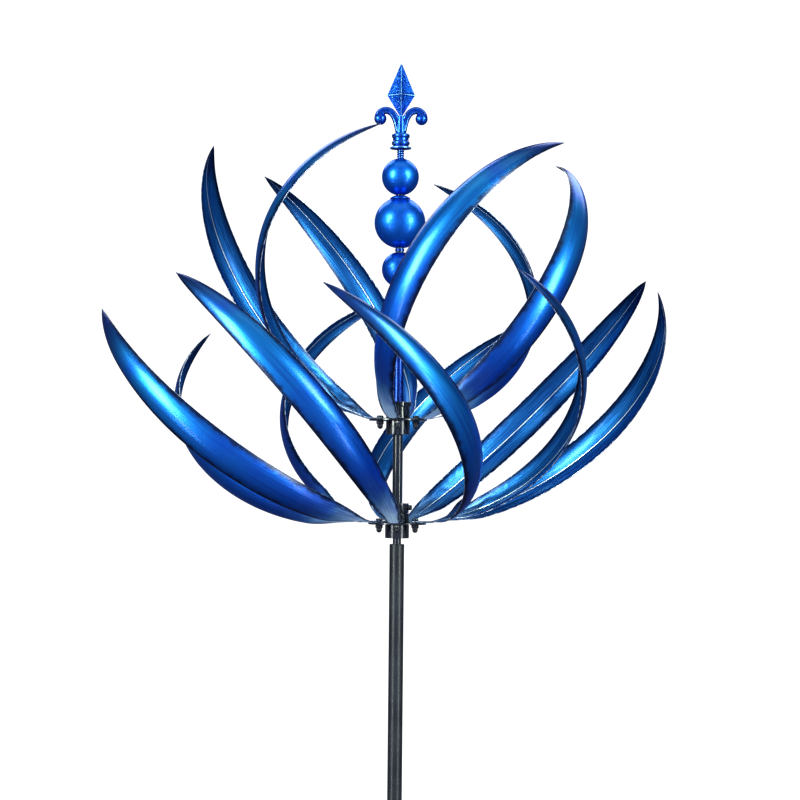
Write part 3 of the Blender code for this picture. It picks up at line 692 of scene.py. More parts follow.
def blade_mesh(name, tier, rise, reach, seed):
    """The blade as a sheet from its bolt to its tip: outer face 0, hollow face 1 and rims 2."""
    points, maps, loops = [], [], []
    length = reach * tier["length"]
    for distance, width in blade_stations(tier, reach):
        past_root = max(distance - tier["root"], 0)
        share = past_root / length
        point, tangent, normal = blade_frame(tier, rise, distance)
        sideways = tangent.cross(normal)
        formed = smooth_step(past_root / FORMING_LENGTH)
        half_angle = FLAT_HALF_ANGLE + (TROUGH_HALF_ANGLE - FLAT_HALF_ANGLE) * formed
        section = blade_loop(width, half_angle, past_root, share, seed)
        loops.append(range(len(points), len(points) + len(section)))
        for across, height, metres_across, side in section:
            points.append(point + sideways * across + normal * height)
            maps.append((distance, metres_across, share, side + 1))
    face_count = (len(loops[0]) - 2 * RIM_STEPS) // 2
    faces, groups = [], []
    for near, far in zip(loops, loops[1:]):
        for i in range(len(near)):
            j = (i + 1) % len(near)
            faces.append((near[i], near[j], far[j], far[i]))
            groups.append(face_group(i, face_count))
    for end, turn in ((loops[0], -1), (loops[-1], 1)):
        faces.append(tuple(end)[::turn])
        groups.append(2)
    mesh = mesh_from(name, points, faces, groups)
    add_maps(mesh, np.array(maps))
    return mesh


def add_maps(mesh, maps):
    """Lays the blade's maps on its faces. Each point has a row of two metres and two shares."""
    values = maps[numbers_of(mesh.loops, "vertex_index", 1, np.int32)[:, 0]]
    for map_name, columns in (("metres", values[:, :2]), ("shares", values[:, 2:])):
        layer = mesh.uv_layers.new(name=map_name)
        layer.data.foreach_set("uv", columns.astype(np.float32).ravel())


def face_group(i, face_count):
    """0 for the outer face, 1 for the hollow face and 2 for a rim."""
    if i < face_count - 1:
        return 0
    hollow_start = face_count + RIM_STEPS
    return 1 if hollow_start <= i < hollow_start + face_count - 1 else 2


def make_blades(tier_name):
    tier = TIERS[tier_name]
    disc_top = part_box(f"{tier_name}_hub_disc")[1].z
    stacked = [0] * BOLT_COUNT
    settings = zip(tier["bolts"], tier["turns"], tier["rises"], tier["reaches"])
    for number, (bolt, turn, rise, reach) in enumerate(settings, 1):
        node = f"{tier_name}_blade_{number}"
        centre = middle_of(f"{tier_name}_bolt_{bolt + 1}")
        level = disc_top + GAP + stacked[bolt] * (SHEET + GAP)
        stacked[bolt] += 1
        seed = number + (UPPER_SEED if tier_name == "upper" else 0)
        mesh = pierced(blade_mesh(node, tier, math.radians(rise), reach, seed), [(0, 0)], HOLE_RADIUS)
        direction = math.radians(bolt * 360 / BOLT_COUNT + turn + FRONT)
        place = (centre.x, centre.y, level)
        paints = [OUTER_PAINT, INNER_PAINT, EDGE_PAINT]
        body = f"{tier_name}_rotor"
        stand_in("painted", node, mesh, paints, body, place, direction)


# Hubs

DISC_RADIUS = 31.5 * MM
BARREL_RADIUS = 13 * MM
BARREL_BORE_RADIUS = 9 * MM
FLANGE_RADIUS = 14.7 * MM
FLANGE_THICKNESS = 5 * MM
BEARING_RADIUS = 11 * MM
BEARING_WIDTH = 7 * MM
RACE_GAP_INNER = 6.2 * MM
RACE_GAP_OUTER = 9.2 * MM
SHIELD_THICKNESS = 0.6 * MM
SPINDLE_BORE_RADIUS = 4.25 * MM


def round_piece(coat, node, profile, material, body, ring=True, steps=96, place=(0, 0, 0)):
    mesh = turned_mesh(node, profile, steps, ring)
    even_shading(stand_in(coat, node, mesh, [material], body, place))


def make_disc(tier_name):
    node = f"{tier_name}_hub_disc"
    low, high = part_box(node)
    profile = tube_profile(DISC_RADIUS, BARREL_RADIUS + GAP, low.z, high.z, 0.5 * MM)
    centres = [middle_of(f"{tier_name}_bolt_{number + 1}").xy for number in range(BOLT_COUNT)]
    mesh = turned_mesh(node, profile, 144)
    mesh.transform(Matrix.Translation((0, 0, -low.z)))
    mesh = pierced(mesh, centres, HOLE_RADIUS)
    mesh.transform(Matrix.Translation((0, 0, low.z)))
    even_shading(stand_in("gloss", node, mesh, [HUB_BLACK], f"{tier_name}_rotor"))


def make_barrel(tier_name, flange):
    """The barrel with a bearing pocket at each end and, if asked for, a flange round the top."""
    node = f"{tier_name}_hub_barrel"
    low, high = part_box(node)
    bottom, top = low.z, high.z
    pocket, pocket_radius = BEARING_WIDTH + GAP, BEARING_RADIUS + GAP
    outline = [(BARREL_RADIUS, top)]
    if flange:
        step = top - FLANGE_THICKNESS
        outline = [(FLANGE_RADIUS, top), (FLANGE_RADIUS, step), (BARREL_RADIUS, step)]
    outline += [
        (BARREL_RADIUS, bottom),
        (pocket_radius, bottom),
        (pocket_radius, bottom + pocket),
        (BARREL_BORE_RADIUS, bottom + pocket),
        (BARREL_BORE_RADIUS, top - pocket),
        (pocket_radius, top - pocket),
        (pocket_radius, top),
    ]
    profile = rounded(outline, 0.5 * MM)
    round_piece("gloss", node, profile, HUB_BLACK, f"{tier_name}_rotor")


def make_bearings(tier_name):
    for place in ("bottom", "top"):
        outer, inner = (f"{tier_name}_{place}_bearing_{race}" for race in ("outer", "inner"))
        low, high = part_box(outer)
        bottom, top = low.z, high.z
        lip = RACE_GAP_INNER + GAP
        outline = [
            (BEARING_RADIUS, top),
            (BEARING_RADIUS, bottom),
            (lip, bottom),
            (lip, bottom + SHIELD_THICKNESS),
            (RACE_GAP_OUTER, bottom + SHIELD_THICKNESS),
            (RACE_GAP_OUTER, top - SHIELD_THICKNESS),
            (lip, top - SHIELD_THICKNESS),
            (lip, top),
        ]
        race = tube_profile(RACE_GAP_INNER, SPINDLE_BORE_RADIUS, bottom, top, 0.3 * MM)
        for node, profile, body in (
            (outer, rounded(outline, 0.2 * MM), f"{tier_name}_rotor"),
            (inner, race, "mast"),
        ):
            round_piece("bright", node, profile, STEEL, body, steps=72)


# Fasteners

BOLT_RADIUS = 2 * MM
HEAD_RADIUS = 3.6 * MM
HEAD_HEIGHT = 2.2 * MM
HEAD_EDGE_RADIUS = 1.1 * MM
SEAT_CHAMFER = 0.25 * MM
SCREW_HEAD_RADIUS = 2.8 * MM
SCREW_HEAD_HEIGHT = 3.4 * MM
BOLT_TURN_STEP = math.radians(17)  # how far each bolt is turned past the one before
NUT_ACROSS_FLATS = 7 * MM
NUT_FACE_RADIUS = 0.47 * NUT_ACROSS_FLATS
NUT_CORNER_SLOPE = 0.6
NUT_HEX_HEIGHT = 3.4 * MM
NUT_DOME_RADIUS = 3 * MM
NUT_SHANK_HEIGHT = 2 * MM
SOCKET_ACROSS_FLATS = 2.5 * MM
SOCKET_DEPTH = 1.3 * MM
FASTENER_STEPS = 72


def hexagon_radius(angle, across_flats):
    turned = (angle + math.pi / 6) % (math.pi / 3) - math.pi / 6
    return across_flats / 2 / math.cos(turned)


def ring_of(radius, height, across_flats=None, chamfer=0):
    """A ring of (radius, height) for each step: round, or six-sided with its corners chamfered."""
    ring = []
    for step in range(FASTENER_STEPS):
        if across_flats is None:
            ring.append((radius, height))
            continue
        reach = hexagon_radius(TURN * step / FASTENER_STEPS, across_flats)
        ring.append((reach, height + chamfer * (reach - across_flats / 2)))
    return ring


def mesh_of_rings(name, rings):
    """A closed skin over rings of (radius, height), from the top down."""
    angles = [TURN * step / FASTENER_STEPS for step in range(FASTENER_STEPS)]
    rows = [[on_circle(radius, a, height) for a, (radius, height) in zip(angles, ring)] for ring in rings]
    top, bottom = rings[0][0][1], rings[-1][0][1]
    return skin(name, [[(0, 0, top)], *rows, [(0, 0, bottom)]])


def head_rings(seat, height, radius):
    """A pan head with a six-sided socket, from the bottom of the socket to the seat."""
    top = seat + height
    socket, floor = SOCKET_ACROSS_FLATS, top - SOCKET_DEPTH
    rings = [ring_of(0, floor, socket), ring_of(0, top - 0.1 * MM, socket)]
    rings.append(ring_of(socket / 2 * 1.25, top))
    for angle in (35, 55, 75, 90):
        turn = math.radians(angle)
        reach = radius - HEAD_EDGE_RADIUS * (1 - math.sin(turn))
        rings.append(ring_of(reach, top - HEAD_EDGE_RADIUS + HEAD_EDGE_RADIUS * math.cos(turn)))
    return rings + [ring_of(radius, seat + SEAT_CHAMFER), ring_of(radius - SEAT_CHAMFER, seat)]


def bolt_mesh(name, head_bottom, nut_top):
    nut_bottom = nut_top - NUT_HEX_HEIGHT
    dome_base = nut_bottom - NUT_SHANK_HEIGHT
    flats, slope, face = NUT_ACROSS_FLATS, NUT_CORNER_SLOPE, NUT_FACE_RADIUS
    rings = head_rings(head_bottom, HEAD_HEIGHT, HEAD_RADIUS)
    rings += [ring_of(BOLT_RADIUS, head_bottom), ring_of(BOLT_RADIUS, nut_top)]
    rings += [ring_of(face, nut_top), ring_of(0, nut_top - 0.1 * MM, flats, -slope)]
    rings += [ring_of(0, nut_bottom + 0.1 * MM, flats, slope), ring_of(face, nut_bottom)]
    dome = NUT_DOME_RADIUS
    rings += [ring_of(dome + 0.2 * MM, nut_bottom), ring_of(dome, nut_bottom - 0.3 * MM)]
    for angle in range(0, 90, 12):
        turn = math.radians(angle)
        rings.append(ring_of(dome * math.cos(turn), dome_base - dome * math.sin(turn)))
    return mesh_of_rings(name, rings)


def make_bolts(tier_name):
    tier = TIERS[tier_name]
    low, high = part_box(f"{tier_name}_hub_disc")
    for number in range(BOLT_COUNT):
        node = f"{tier_name}_bolt_{number + 1}"
        centre = middle_of(node)
        clamped = tier["bolts"].count(number) * (SHEET + GAP)
        mesh = bolt_mesh(node, high.z + GAP + clamped, low.z - GAP)
        place, turn = (centre.x, centre.y, 0), BOLT_TURN_STEP * number
        body, slot = f"{tier_name}_rotor", "fastener_black"
        even_shading(stand_in("zinc", node, mesh, [FASTENER_BLACK], body, place, turn))


def make_radial_screw(node, tip, seat, turn):
    """A screw through the side of a tube: its knurled head stands on the outside."""
    rings = head_rings(seat, SCREW_HEAD_HEIGHT, SCREW_HEAD_RADIUS)
    rings += [ring_of(BOLT_RADIUS, seat), ring_of(BOLT_RADIUS, tip)]
    mesh = mesh_of_rings(node, rings)
    mesh.transform(Matrix.Rotation(turn, 4, "Z") @ Matrix.Rotation(math.radians(90), 4, "Y"))
    mesh.transform(Matrix.Translation((0, 0, middle_of(node).z)))
    even_shading(stand_in("zinc", node, mesh, [FASTENER_BLACK], "mast"))


# Spindle, sleeves, collar and balls

SPINDLE_RADIUS = 4 * MM
SHOULDER_RADIUS = 4.5 * MM
THREAD_PITCH = 2.4 * MM
THREAD_DEPTH = 0.7 * MM
THREAD_STEP = 0.2 * MM
THREAD_START_DEPTH = 6 * MM  # how far the thread reaches down into the top ball
SLEEVE_RADIUS = 5.5 * MM
COLLAR_RADIUS = 12.5 * MM
SET_SCREW_TURN = math.radians(-12)
BALL_WALL = 0.8 * MM
SPACER_RADIUS = 5 * MM
CAP_RADIUS = 11 * MM
CAP_RISE = 2.2 * MM


def threaded_mesh(name, bottom, top):
    """A rod with a coarse round thread, closed at both ends."""
    steps = 64
    levels = round((top - bottom) / THREAD_STEP)
    rows = [[(0, 0, top)]]
    for level in range(levels + 1):
        height = top - level * THREAD_STEP
        fade = smooth_step(min(level, levels - level) * THREAD_STEP / THREAD_PITCH)
        row = []
        for step in range(steps):
            angle = TURN * step / steps
            wave = 0.5 - 0.5 * math.cos(TURN * height / THREAD_PITCH - angle)
            row.append(on_circle(SPINDLE_RADIUS - THREAD_DEPTH * fade * wave, angle, height))
        rows.append(row)
    return skin(name, [*rows, [(0, 0, bottom)]])


def make_spindle():
    """The plain rod, black where the sleeves cover it, and its threaded end, painted with the finial."""
    low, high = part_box("spindle")
    shoulder_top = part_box("lower_hub_barrel")[0].z - GAP
    thread_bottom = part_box("ball_top")[1].z - THREAD_START_DEPTH
    outline = [
        (0, thread_bottom),
        (SPINDLE_RADIUS, thread_bottom),
        (SPINDLE_RADIUS, shoulder_top),
        (SHOULDER_RADIUS, shoulder_top),
        (SHOULDER_RADIUS, low.z),
        (0, low.z),
    ]
    rod = rounded(outline, 0.4 * MM, ring=False)
    round_piece("gloss", "spindle", rod, HUB_BLACK, "mast", ring=False)
    thread = threaded_mesh("spindle_thread", thread_bottom, high.z)
    add_object("spindle_thread", thread, [FINIAL_PAINT], "mast")


def make_sleeves():
    for node, radius, finish, slot in (
        ("sleeve_between_hubs", SLEEVE_RADIUS, HUB_BLACK, "hub_black"),
        ("sleeve_under_balls", SLEEVE_RADIUS, SLEEVE_PAINT, "ball_paint"),
        ("lower_collar", COLLAR_RADIUS, HUB_BLACK, "hub_black"),
    ):
        low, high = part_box(node)
        profile = tube_profile(radius, SPINDLE_BORE_RADIUS, low.z, high.z, 0.6 * MM)
        round_piece("gloss", node, profile, finish, "mast")
    make_radial_screw("collar_set_screw", SPINDLE_BORE_RADIUS + GAP, COLLAR_RADIUS + GAP, SET_SCREW_TURN)


def ball_arc(radius, rings=64):
    """(radius, height) points from one edge of the spindle's bore to the other, round a sphere."""
    edge = math.asin(SPINDLE_BORE_RADIUS / radius)
    angles = [edge + (math.pi - 2 * edge) * i / rings for i in range(rings + 1)]
    return [(radius * math.sin(a), radius * math.cos(a)) for a in angles]


def make_balls():
    for node in ("ball_lower", "ball_large", "ball_top"):
        low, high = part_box(node)
        radius = (high.x - low.x) / 2
        profile = ball_arc(radius) + ball_arc(radius - BALL_WALL)[::-1]
        mesh = turned_mesh(node, profile, 128)
        stand_in("painted", node, mesh, [BALL_PAINT], "mast", middle_of(node))


def make_ball_spacers():
    low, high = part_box("ball_spacer_lower")
    profile = tube_profile(SPACER_RADIUS, SPINDLE_BORE_RADIUS, low.z, high.z)
    round_piece("painted", "ball_spacer_lower", profile, SLEEVE_PAINT, "mast")
    low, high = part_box("ball_spacer_capped")
    outline = [
        (SPINDLE_BORE_RADIUS, high.z),
        (SPACER_RADIUS, high.z),
        (SPACER_RADIUS + 0.6 * MM, low.z + 1.6 * CAP_RISE),
        (0.8 * CAP_RADIUS, low.z + CAP_RISE),
        (CAP_RADIUS, low.z + 0.4 * CAP_RISE),
        (CAP_RADIUS, low.z),
        (SPINDLE_BORE_RADIUS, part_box("ball_large")[1].z + GAP),
    ]
    profile = rounded(outline, 0.5 * MM)
    round_piece("painted", "ball_spacer_capped", profile, BALL_PAINT, "mast")


# Finial, measured from the underside of its flange

FINIAL_HOLE_DEPTH = 11 * MM
FLANGE_PROFILE = (11.6 * MM, 1.8 * MM)
BEAD_RADIUS = 9.8 * MM
BEAD_HALF_HEIGHT = 2.2 * MM
BEAD_LEVELS = (6 * MM, 14 * MM)
BEAD_ANGLES = range(80, -81, -16)  # degrees above the bead's middle
GROOVE_RADIUS = 7.8 * MM
STEM_RADIUS = 5.6 * MM
STEM_TOP = 36 * MM
SPEAR_BOTTOM = 33 * MM
SPEAR_WAIST = 58 * MM
SPEAR_TIP = 94.2 * MM
SPEAR_HALF_WIDTH = 15.3 * MM
SPEAR_HALF_DEPTH = 10.3 * MM
FACET_HOLLOW = 0.05
WAIST_RAISE = 0.05
CURL_RADIUS = 4 * MM
CHANNEL_SHARE = 0.2
CURL_START = (1.6 * MM, 16 * MM)
CURL_TOP = (16.5 * MM, 41.7 * MM)
CURL_BEND_RADIUS = 8.5 * MM
CURL_RISE_STEPS = 30
CURL_BEND_STEPS = 12
CURL_END_RADIUS = 6.7 * MM
CURL_END_SET_BACK = (2.6 * MM, 0.6 * MM)
CASTING_VOXEL = 0.32 * MM
HAMMER_DEPTH = 0.28 * MM
HAMMER_SIZE = 1.7 * MM
SPEAR_NECK = 6 * MM  # the spear's lowest stretch, which stays smooth


def finial_base_profile():
    """Flange, two beads and the stem, with the blind hole for the spindle."""
    hole_top = FINIAL_HOLE_DEPTH + GAP
    flange_radius, flange_top = FLANGE_PROFILE
    stem_bottom = BEAD_LEVELS[1] + BEAD_HALF_HEIGHT
    outline = [(0, STEM_TOP), (0.6 * STEM_RADIUS, STEM_TOP), (STEM_RADIUS, stem_bottom)]
    for level in reversed(BEAD_LEVELS):
        for angle in BEAD_ANGLES:
            turn = math.radians(angle)
            radius = GROOVE_RADIUS + (BEAD_RADIUS - GROOVE_RADIUS) * math.cos(turn) ** 0.6
            outline.append((radius, level + BEAD_HALF_HEIGHT * math.sin(turn)))
    outline += [
        (GROOVE_RADIUS, flange_top + 0.8 * MM),
        (flange_radius - 0.5 * MM, flange_top),
        (flange_radius, flange_top - 0.5 * MM),
        (flange_radius, 0),
        (SPINDLE_BORE_RADIUS, 0),
        (SPINDLE_BORE_RADIUS, hole_top),
        (0, hole_top),
    ]
    return outline


def spear_size(height):
    """The spear's size at a height: 1 at its waist and 0 at its ends."""
    above = (SPEAR_TIP - height) / (SPEAR_TIP - SPEAR_WAIST)
    return min(above, (height - SPEAR_BOTTOM) / (SPEAR_WAIST - SPEAR_BOTTOM))


def spear_mesh(levels=90, facet_steps=16):
    """A four-sided spear head with a raised waist and slightly hollow facets."""
    wide, deep = SPEAR_HALF_WIDTH, SPEAR_HALF_DEPTH
    ridges = [Vector(ridge) for ridge in ((wide, 0), (0, deep), (-wide, 0), (0, -deep))]
    rows = [[(0, 0, SPEAR_TIP)]]
    for level in range(1, levels):
        height = SPEAR_TIP + (SPEAR_BOTTOM - SPEAR_TIP) * level / levels
        size = spear_size(height) + WAIST_RAISE * bell(height, SPEAR_WAIST, 0.9 * MM)
        row = []
        for step in range(len(ridges) * facet_steps):
            facet, share = divmod(step / facet_steps, 1)
            first, second = ridges[int(facet)], ridges[(int(facet) + 1) % len(ridges)]
            hollow = 1 - FACET_HOLLOW * math.sin(math.pi * share) ** 0.5
            row.append((*(first.lerp(second, share) * size * hollow), height))
        rows.append(row)
    return skin("spear", [*rows, [(0, 0, SPEAR_BOTTOM)]])


def curl_centreline():
    """A rising curve out of the stem, then a quarter circle over and down. (x, z) points."""
    start, top = Vector(CURL_START), Vector(CURL_TOP)
    first_handle = Vector((2.5 * CURL_START[0], 0.72 * CURL_TOP[1]))
    second_handle = Vector((0.42 * CURL_TOP[0], CURL_TOP[1]))
    points = []
    for step in range(CURL_RISE_STEPS + 1):
        t = step / CURL_RISE_STEPS
        weights = ((1 - t) ** 3, 3 * t * (1 - t) ** 2, 3 * t * t * (1 - t), t**3)
        handles = (start, first_handle, second_handle, top)
        points.append(sum((w * h for w, h in zip(weights, handles)), Vector((0, 0))))
    centre = top - Vector((0, CURL_BEND_RADIUS))
    for step in range(1, CURL_BEND_STEPS + 1):
        angle = math.radians(90 - 90 * step / CURL_BEND_STEPS)
        points.append(centre + CURL_BEND_RADIUS * Vector((math.cos(angle), math.sin(angle))))
    return points


def curl_mesh(side, steps=40):
    """An arm along the centreline with a channel down its front and its back."""
    centreline = curl_centreline()
    rows = []
    for i, point in enumerate(centreline):
        before, after = centreline[max(i - 1, 0)], centreline[min(i + 1, len(centreline) - 1)]
        tangent = (after - before).normalized()
        normal = Vector((-tangent.y, tangent.x))
        row = []
        for k in range(steps):
            angle = TURN * k / steps
            radius = CURL_RADIUS * (1 - CHANNEL_SHARE * bell(abs(math.sin(angle)), 1, 0.12))
            x, z = point + normal * CURL_RADIUS * math.cos(angle)
            row.append((side * x, radius * math.sin(angle), z))
        rows.append(row)
    return skin("curl", rows, capped=True)


def curl_end_mesh(side):
    shape = bmesh.new()
    x = CURL_TOP[0] + CURL_BEND_RADIUS - CURL_END_SET_BACK[0]
    z = CURL_TOP[1] - CURL_BEND_RADIUS - CURL_END_SET_BACK[1]
    place = Matrix.Translation((side * x, 0, z))
    bmesh.ops.create_uvsphere(shape, u_segments=40, v_segments=24, radius=CURL_END_RADIUS, matrix=place)
    return mesh_of_shape("curl_end", shape)


def joined(meshes):
    shape = bmesh.new()
    for mesh in meshes:
        shape.from_mesh(mesh)
    bmesh.ops.recalc_face_normals(shape, faces=shape.faces)
    return mesh_of_shape("joined", shape)


def eased_surface(mesh, rounds=2):
    """Moves each point half way to the middle of its neighbours, as many times as asked."""
    points = numbers_of(mesh.vertices, "co", 3)
    first, second = numbers_of(mesh.edges, "vertices", 2, np.int32).T
    count = np.bincount(np.concatenate((first, second)), minlength=len(points))[:, None]
    for _ in range(rounds):
        total = np.zeros_like(points)
        np.add.at(total, first, points[second])
        np.add.at(total, second, points[first])
        points = (points + total / count) / 2
    mesh.vertices.foreach_set("co", points.ravel())
    mesh.update()
    return mesh


def hammered(mesh):
    """Dents over the facets of the spear, away from its ridges."""
    points = numbers_of(mesh.vertices, "co", 3)
    normals = numbers_of(mesh.vertices, "normal", 3)
    for point, normal in zip(points, normals):
        x, _, z = point
        size = spear_size(z)
        if z < SPEAR_BOTTOM + SPEAR_NECK or size <= 0.05:
            continue
        across = abs(x) / (SPEAR_HALF_WIDTH * size)
        inside = smooth_step(4 * across) * smooth_step(4 * (1 - across)) * smooth_step((1 - size) * 12)
        dent = noise.voronoi(Vector(point) / HAMMER_SIZE)[0][0] - 0.45
        point += normal * HAMMER_DEPTH * inside * dent
    mesh.vertices.foreach_set("co", points.ravel())
    mesh.update()
    return mesh


def make_finial():
    """The casting: its parts run into each other with soft corners, and its facets are hammered."""
    parts = [turned_mesh("base", finial_base_profile(), 96, ring=False), spear_mesh()]
    for side in (1, -1):
        parts += [curl_mesh(side), curl_end_mesh(side)]
    whole = evaluated(joined(parts), REMESH={"mode": "VOXEL", "voxel_size": CASTING_VOXEL})
    whole = hammered(eased_surface(whole))
    whole.shade_smooth()
    place = (0, 0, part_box("finial")[0].z)
    stand_in("painted", "finial", whole, [FINIAL_PAINT], "mast", place)


# Pole and ground stake

POLE_RADIUS = 8 * MM
POLE_WALL = 1 * MM
SPIGOT_RADIUS = 6.7 * MM
SPIGOT_WALL = 0.9 * MM
SPIGOT_LENGTH = 60 * MM
PRONG_RADIUS = 4 * MM
PRONG_POINT_LENGTH = 25 * MM
SPIKE_POINT_LENGTH = 50 * MM
POINT_RADIUS = 0.8 * MM
BAR_CORNER_RADIUS = 5 * MM
BAR_EDGE_RADIUS = 0.5 * MM
WELD_RADIUS = 1.7 * MM
WELD_SPREAD = 0.75
WELD_RISE = 0.5
WELD_RIPPLES = 26


def pole_section_profile(bottom, top):
    """A tube whose reduced upper end runs on into the next section."""
    reach = top + SPIGOT_LENGTH
    inner, spigot_inner = POLE_RADIUS - POLE_WALL, SPIGOT_RADIUS - SPIGOT_WALL
    outline = [
        (SPIGOT_RADIUS, reach),
        (SPIGOT_RADIUS, top + 0.2 * MM),
        (POLE_RADIUS, top - POLE_WALL),
        (POLE_RADIUS, bottom),
        (inner, bottom),
        (inner, top - 4 * POLE_WALL),
        (spigot_inner, top - POLE_WALL),
        (spigot_inner, reach),
    ]
    return rounded(outline, 0.5 * MM)


def make_pole():
    sections = {name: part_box(name) for name in ("pole_lower", "pole_middle", "pole_top")}
    for name in ("pole_lower", "pole_middle"):
        low, high = sections[name]
        profile = pole_section_profile(low.z, high.z - SPIGOT_LENGTH)
        round_piece("coated", name, profile, POLE_BLACK, "mast")
    low, high = sections["pole_top"]
    profile = tube_profile(POLE_RADIUS, POLE_RADIUS - POLE_WALL, low.z, high.z)
    round_piece("coated", "pole_top", profile, POLE_BLACK, "mast")
    make_plug()
    for number in (1, 2):
        tip = SPIGOT_RADIUS - 2 * SPIGOT_WALL
        make_radial_screw(f"pole_screw_{number}", tip, POLE_RADIUS + GAP, SET_SCREW_TURN)


def make_plug():
    """The plug in the pole's top, bored for the spindle's shoulder."""
    low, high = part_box("pole_plug")
    hole_bottom, hole_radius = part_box("spindle")[0].z - GAP, SHOULDER_RADIUS + GAP
    outline = [
        (0, hole_bottom),
        (hole_radius, hole_bottom),
        (hole_radius, high.z),
        (SPIGOT_RADIUS, high.z),
        (SPIGOT_RADIUS, low.z),
        (0, low.z),
    ]
    plug = rounded(outline, 0.3 * MM, ring=False)
    round_piece("coated", "pole_plug", plug, POLE_BLACK, "mast", ring=False)


def weld_lump(angle, radius):
    """The weld's thickness round its ring: even ripples and slow swells."""
    place = Vector((3 * math.cos(angle), 3 * math.sin(angle), radius / MM))
    return 1 + 0.14 * abs(math.sin(angle * WELD_RIPPLES / 2)) + 0.1 * noise.noise(place)


def make_weld(node, radius, height, place):
    """A ring of weld metal on the bar, with the ripples that the torch leaves."""
    steps, sides = 8 * WELD_RIPPLES, 12
    rows = []
    for step in range(steps):
        angle = TURN * step / steps
        size = WELD_RADIUS * weld_lump(angle, radius)
        row = []
        for side in range(sides):
            turn = TURN * side / sides
            reach = radius + WELD_SPREAD * size * math.cos(turn)
            row.append(on_circle(reach, angle, height + WELD_RISE * size * math.sin(turn)))
        rows.append(row)
    mesh = skin(node, rows, ring=True, outward=False)
    add_object(f"weld_{node}", mesh, [POLE_BLACK], "mast", location=place)


def point_profile(top, radius, bottom, point_length):
    """A round spike with a drawn point."""
    return [(0, top), (radius, top), (radius, bottom + point_length), (POINT_RADIUS, bottom), (0, bottom)]


def bar_mesh(low, high):
    """The flat bar with rounded ends and eased edges."""
    shape = bmesh.new()
    bmesh.ops.create_cube(shape, size=1)
    bmesh.ops.scale(shape, vec=high - low, verts=shape.verts)
    bmesh.ops.translate(shape, vec=(low + high) / 2, verts=shape.verts)
    upright = [e for e in shape.edges if abs(e.verts[0].co.z - e.verts[1].co.z) > MM]
    bmesh.ops.bevel(shape, geom=upright, offset=BAR_CORNER_RADIUS, segments=6, profile=0.5, affect="EDGES")
    flat = [e for e in shape.edges if e.calc_face_angle(0) > math.radians(60)]
    bmesh.ops.bevel(shape, geom=flat, offset=BAR_EDGE_RADIUS, segments=3, profile=0.5, affect="EDGES")
    mesh = mesh_of_shape("bar", shape)
    mesh.shade_smooth()
    return mesh


def make_spike():
    """The spike, with a spigot that goes up into the pole."""
    low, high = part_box("stake_spike")
    point = point_profile(high.z, POLE_RADIUS, low.z, SPIKE_POINT_LENGTH)
    eased_point = rounded(point, 0.6 * MM, ring=False)[1 + CORNER_POINTS :]
    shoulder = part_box("pole_lower")[0].z - GAP
    spigot = [(0, 0), (SPIGOT_RADIUS, 0), (SPIGOT_RADIUS, shoulder), (POLE_RADIUS, shoulder)]
    profile = spigot + eased_point
    round_piece("coated", "stake_spike", profile, POLE_BLACK, "mast", ring=False)


def make_prong(node, place):
    low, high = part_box(node)
    point = point_profile(high.z, PRONG_RADIUS, low.z, PRONG_POINT_LENGTH)
    profile = rounded(point, 0.5 * MM, ring=False)
    round_piece("coated", node, profile, POLE_BLACK, "mast", ring=False, place=place)


def make_stake():
    make_spike()
    low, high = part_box("step_bar")
    prongs = {side: middle_of(f"stake_prong_{side}").x for side in ("left", "right")}
    bar = pierced(bar_mesh(low, high), [(0, 0)], POLE_RADIUS + GAP)
    bar = pierced(bar, [(x, 0) for x in prongs.values()], PRONG_RADIUS + GAP)
    even_shading(stand_in("coated", "step_bar", bar, [POLE_BLACK], "mast"))
    for side, x in prongs.items():
        node, place = f"stake_prong_{side}", (x, 0, 0)
        make_prong(node, place)
        make_weld(node, PRONG_RADIUS, high.z, place)
    make_weld("step_bar", POLE_RADIUS, high.z, (0, 0, 0))


# Floor, light and camera

FLOOR_RADIUS = 4.5
LIGHT_TARGET_HEIGHT = 1.52
FRONT_LAMPS = 49  # degrees from the front
BACK_LAMPS = 148
KEY_COLOUR = (0.86, 1.0, 0.86)
ROOM_TONES = [(0.0, (0.22, 0.27, 0.39)), (0.5, (0.41, 0.5, 0.72)), (1.0, (0.3, 0.36, 0.52))]
ROOM_BACK = (0.04, 0.045, 0.055)  # the dim side of the room, behind the object
CAMERA_DISTANCE = 2.33
CAMERA_ABOVE_LOWER_DISC = 58.2 * MM
CAMERA_LENS = 96.5
CAMERA_ROLL = math.radians(0.55)
CAMERA_SHIFT = (0.0030, 0.0875)


def make_floor(level):
    """A pale disc that fades into the background's white towards its rim."""
    material, tree, shader = start_material("floor_pale", 0)
    shader.inputs["Base Color"].default_value = (0.9, 0.9, 0.9, 1)
    shader.inputs["Roughness"].default_value = 0.6
    place = add(tree, "TexCoord").outputs["Object"]
    distance = add(tree, "VectorMath", {0: place}, operation="LENGTH").outputs["Value"]
    fade = spread(tree, distance, 0, 0.9 * FLOOR_RADIUS, 0.55, 1)
    white = add(tree, "Emission", {"Color": (1, 1, 1, 1), "Strength": 1.0}).outputs[0]
    mixed = add(tree, "MixShader", {0: fade, 1: shader.outputs[0], 2: white}).outputs[0]
    tree.links.new(mixed, tree.nodes["Material Output"].inputs["Surface"])
    mesh = turned_mesh("floor", [(0, 0), (FLOOR_RADIUS, 0)], 128, ring=False)
    mesh.materials.append(material)
    floor = put_in_scene("floor", mesh)
    floor.location.z = level
    floor.visible_glossy = False


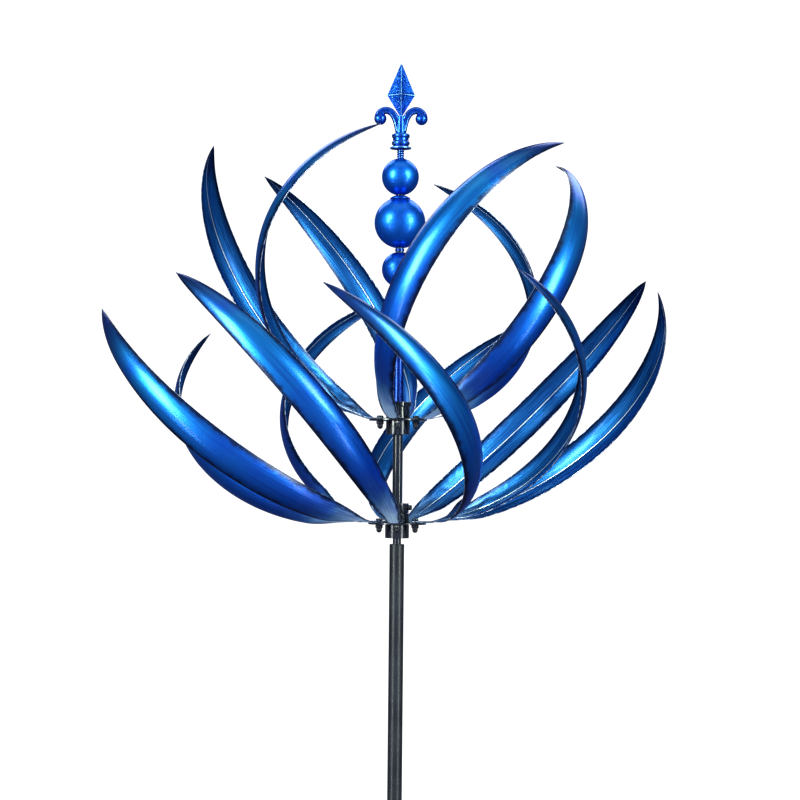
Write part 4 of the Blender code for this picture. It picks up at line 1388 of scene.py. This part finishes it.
def make_world():
    """White behind the object, and a dim studio in its reflections."""
    world = bpy.data.worlds.new("studio")
    bpy.context.scene.world = world
    world.use_nodes = True
    tree = world.node_tree
    way = add(tree, "SeparateXYZ", {"Vector": add(tree, "TexCoord").outputs["Generated"]}).outputs
    room = ramp(tree, spread(tree, way["Z"], -1, 1, ease="LINEAR"), ROOM_TONES)
    room = laid_over(tree, room, ROOM_BACK, way["Y"], -0.6, 0.35, 0, 0.78)
    path = add(tree, "LightPath").outputs["Is Camera Ray"]
    colour = blend_of(tree, path, room, (1.0, 1.0, 1.0))
    feed(tree, tree.nodes["Background"].inputs["Color"], colour)


def softbox(name, azimuth, elevation, distance, size, power, colour=(1, 1, 1)):
    """A rectangular lamp aimed at the rotors. Azimuth is in degrees from the front towards +X."""
    lamp = bpy.data.lights.new(name, "AREA")
    lamp.shape = "RECTANGLE"
    lamp.size, lamp.size_y = size
    lamp.energy = power
    lamp.color = colour
    holder = put_in_scene(name, lamp)
    reach = distance * math.cos(math.radians(elevation))
    x, y = polar(reach, azimuth)
    away = Vector((x, y, distance * math.sin(math.radians(elevation))))
    holder.location = Vector((0, 0, LIGHT_TARGET_HEIGHT)) + away
    holder.rotation_euler = away.to_track_quat("Z", "Y").to_euler()
    holder.visible_camera = False


def make_lights():
    """A large box and a narrow strip on each side, a weak box overhead and two behind."""
    sides = (("left", -1, 80), ("right", 1, 72))
    for name, way, power in sides:
        softbox(f"{name}_softbox", FRONT_LAMPS * way, 16, 2.6, (1.0, 1.5), power, KEY_COLOUR)
    for name, way, _ in sides:
        softbox(f"{name}_strip", FRONT_LAMPS * way, -6, 2.6, (0.14, 2.2), 17)
    softbox("overhead_softbox", 0, 80, 2.4, (2.2, 1.6), 9, KEY_COLOUR)
    for name, way, _ in sides:
        softbox(f"back_{name}_softbox", BACK_LAMPS * way, 42, 3.2, (1.6, 1.8), 36, KEY_COLOUR)


def make_camera():
    data = bpy.data.cameras.new("camera")
    data.lens = CAMERA_LENS
    data.shift_x, data.shift_y = CAMERA_SHIFT
    camera = put_in_scene("camera", data)
    level = tier_level("lower") + CAMERA_ABOVE_LOWER_DISC
    upright = Matrix.Rotation(math.radians(90), 4, "X") @ Matrix.Rotation(CAMERA_ROLL, 4, "Z")
    camera.matrix_world = Matrix.Translation((0, -CAMERA_DISTANCE, level)) @ upright
    bpy.context.scene.camera = camera
    bpy.context.scene.view_settings.view_transform = "Standard"
    bpy.context.scene.view_settings.look = "Medium High Contrast"


for tier in TIERS:
    make_blades(tier)
    make_disc(tier)
    make_barrel(tier, flange=tier == "upper")
    make_bearings(tier)
    make_bolts(tier)
make_spindle()
make_sleeves()
make_balls()
make_ball_spacers()
make_finial()
make_pole()
make_stake()
make_floor(cad_box[0].z)
make_world()
make_lights()
make_camera()
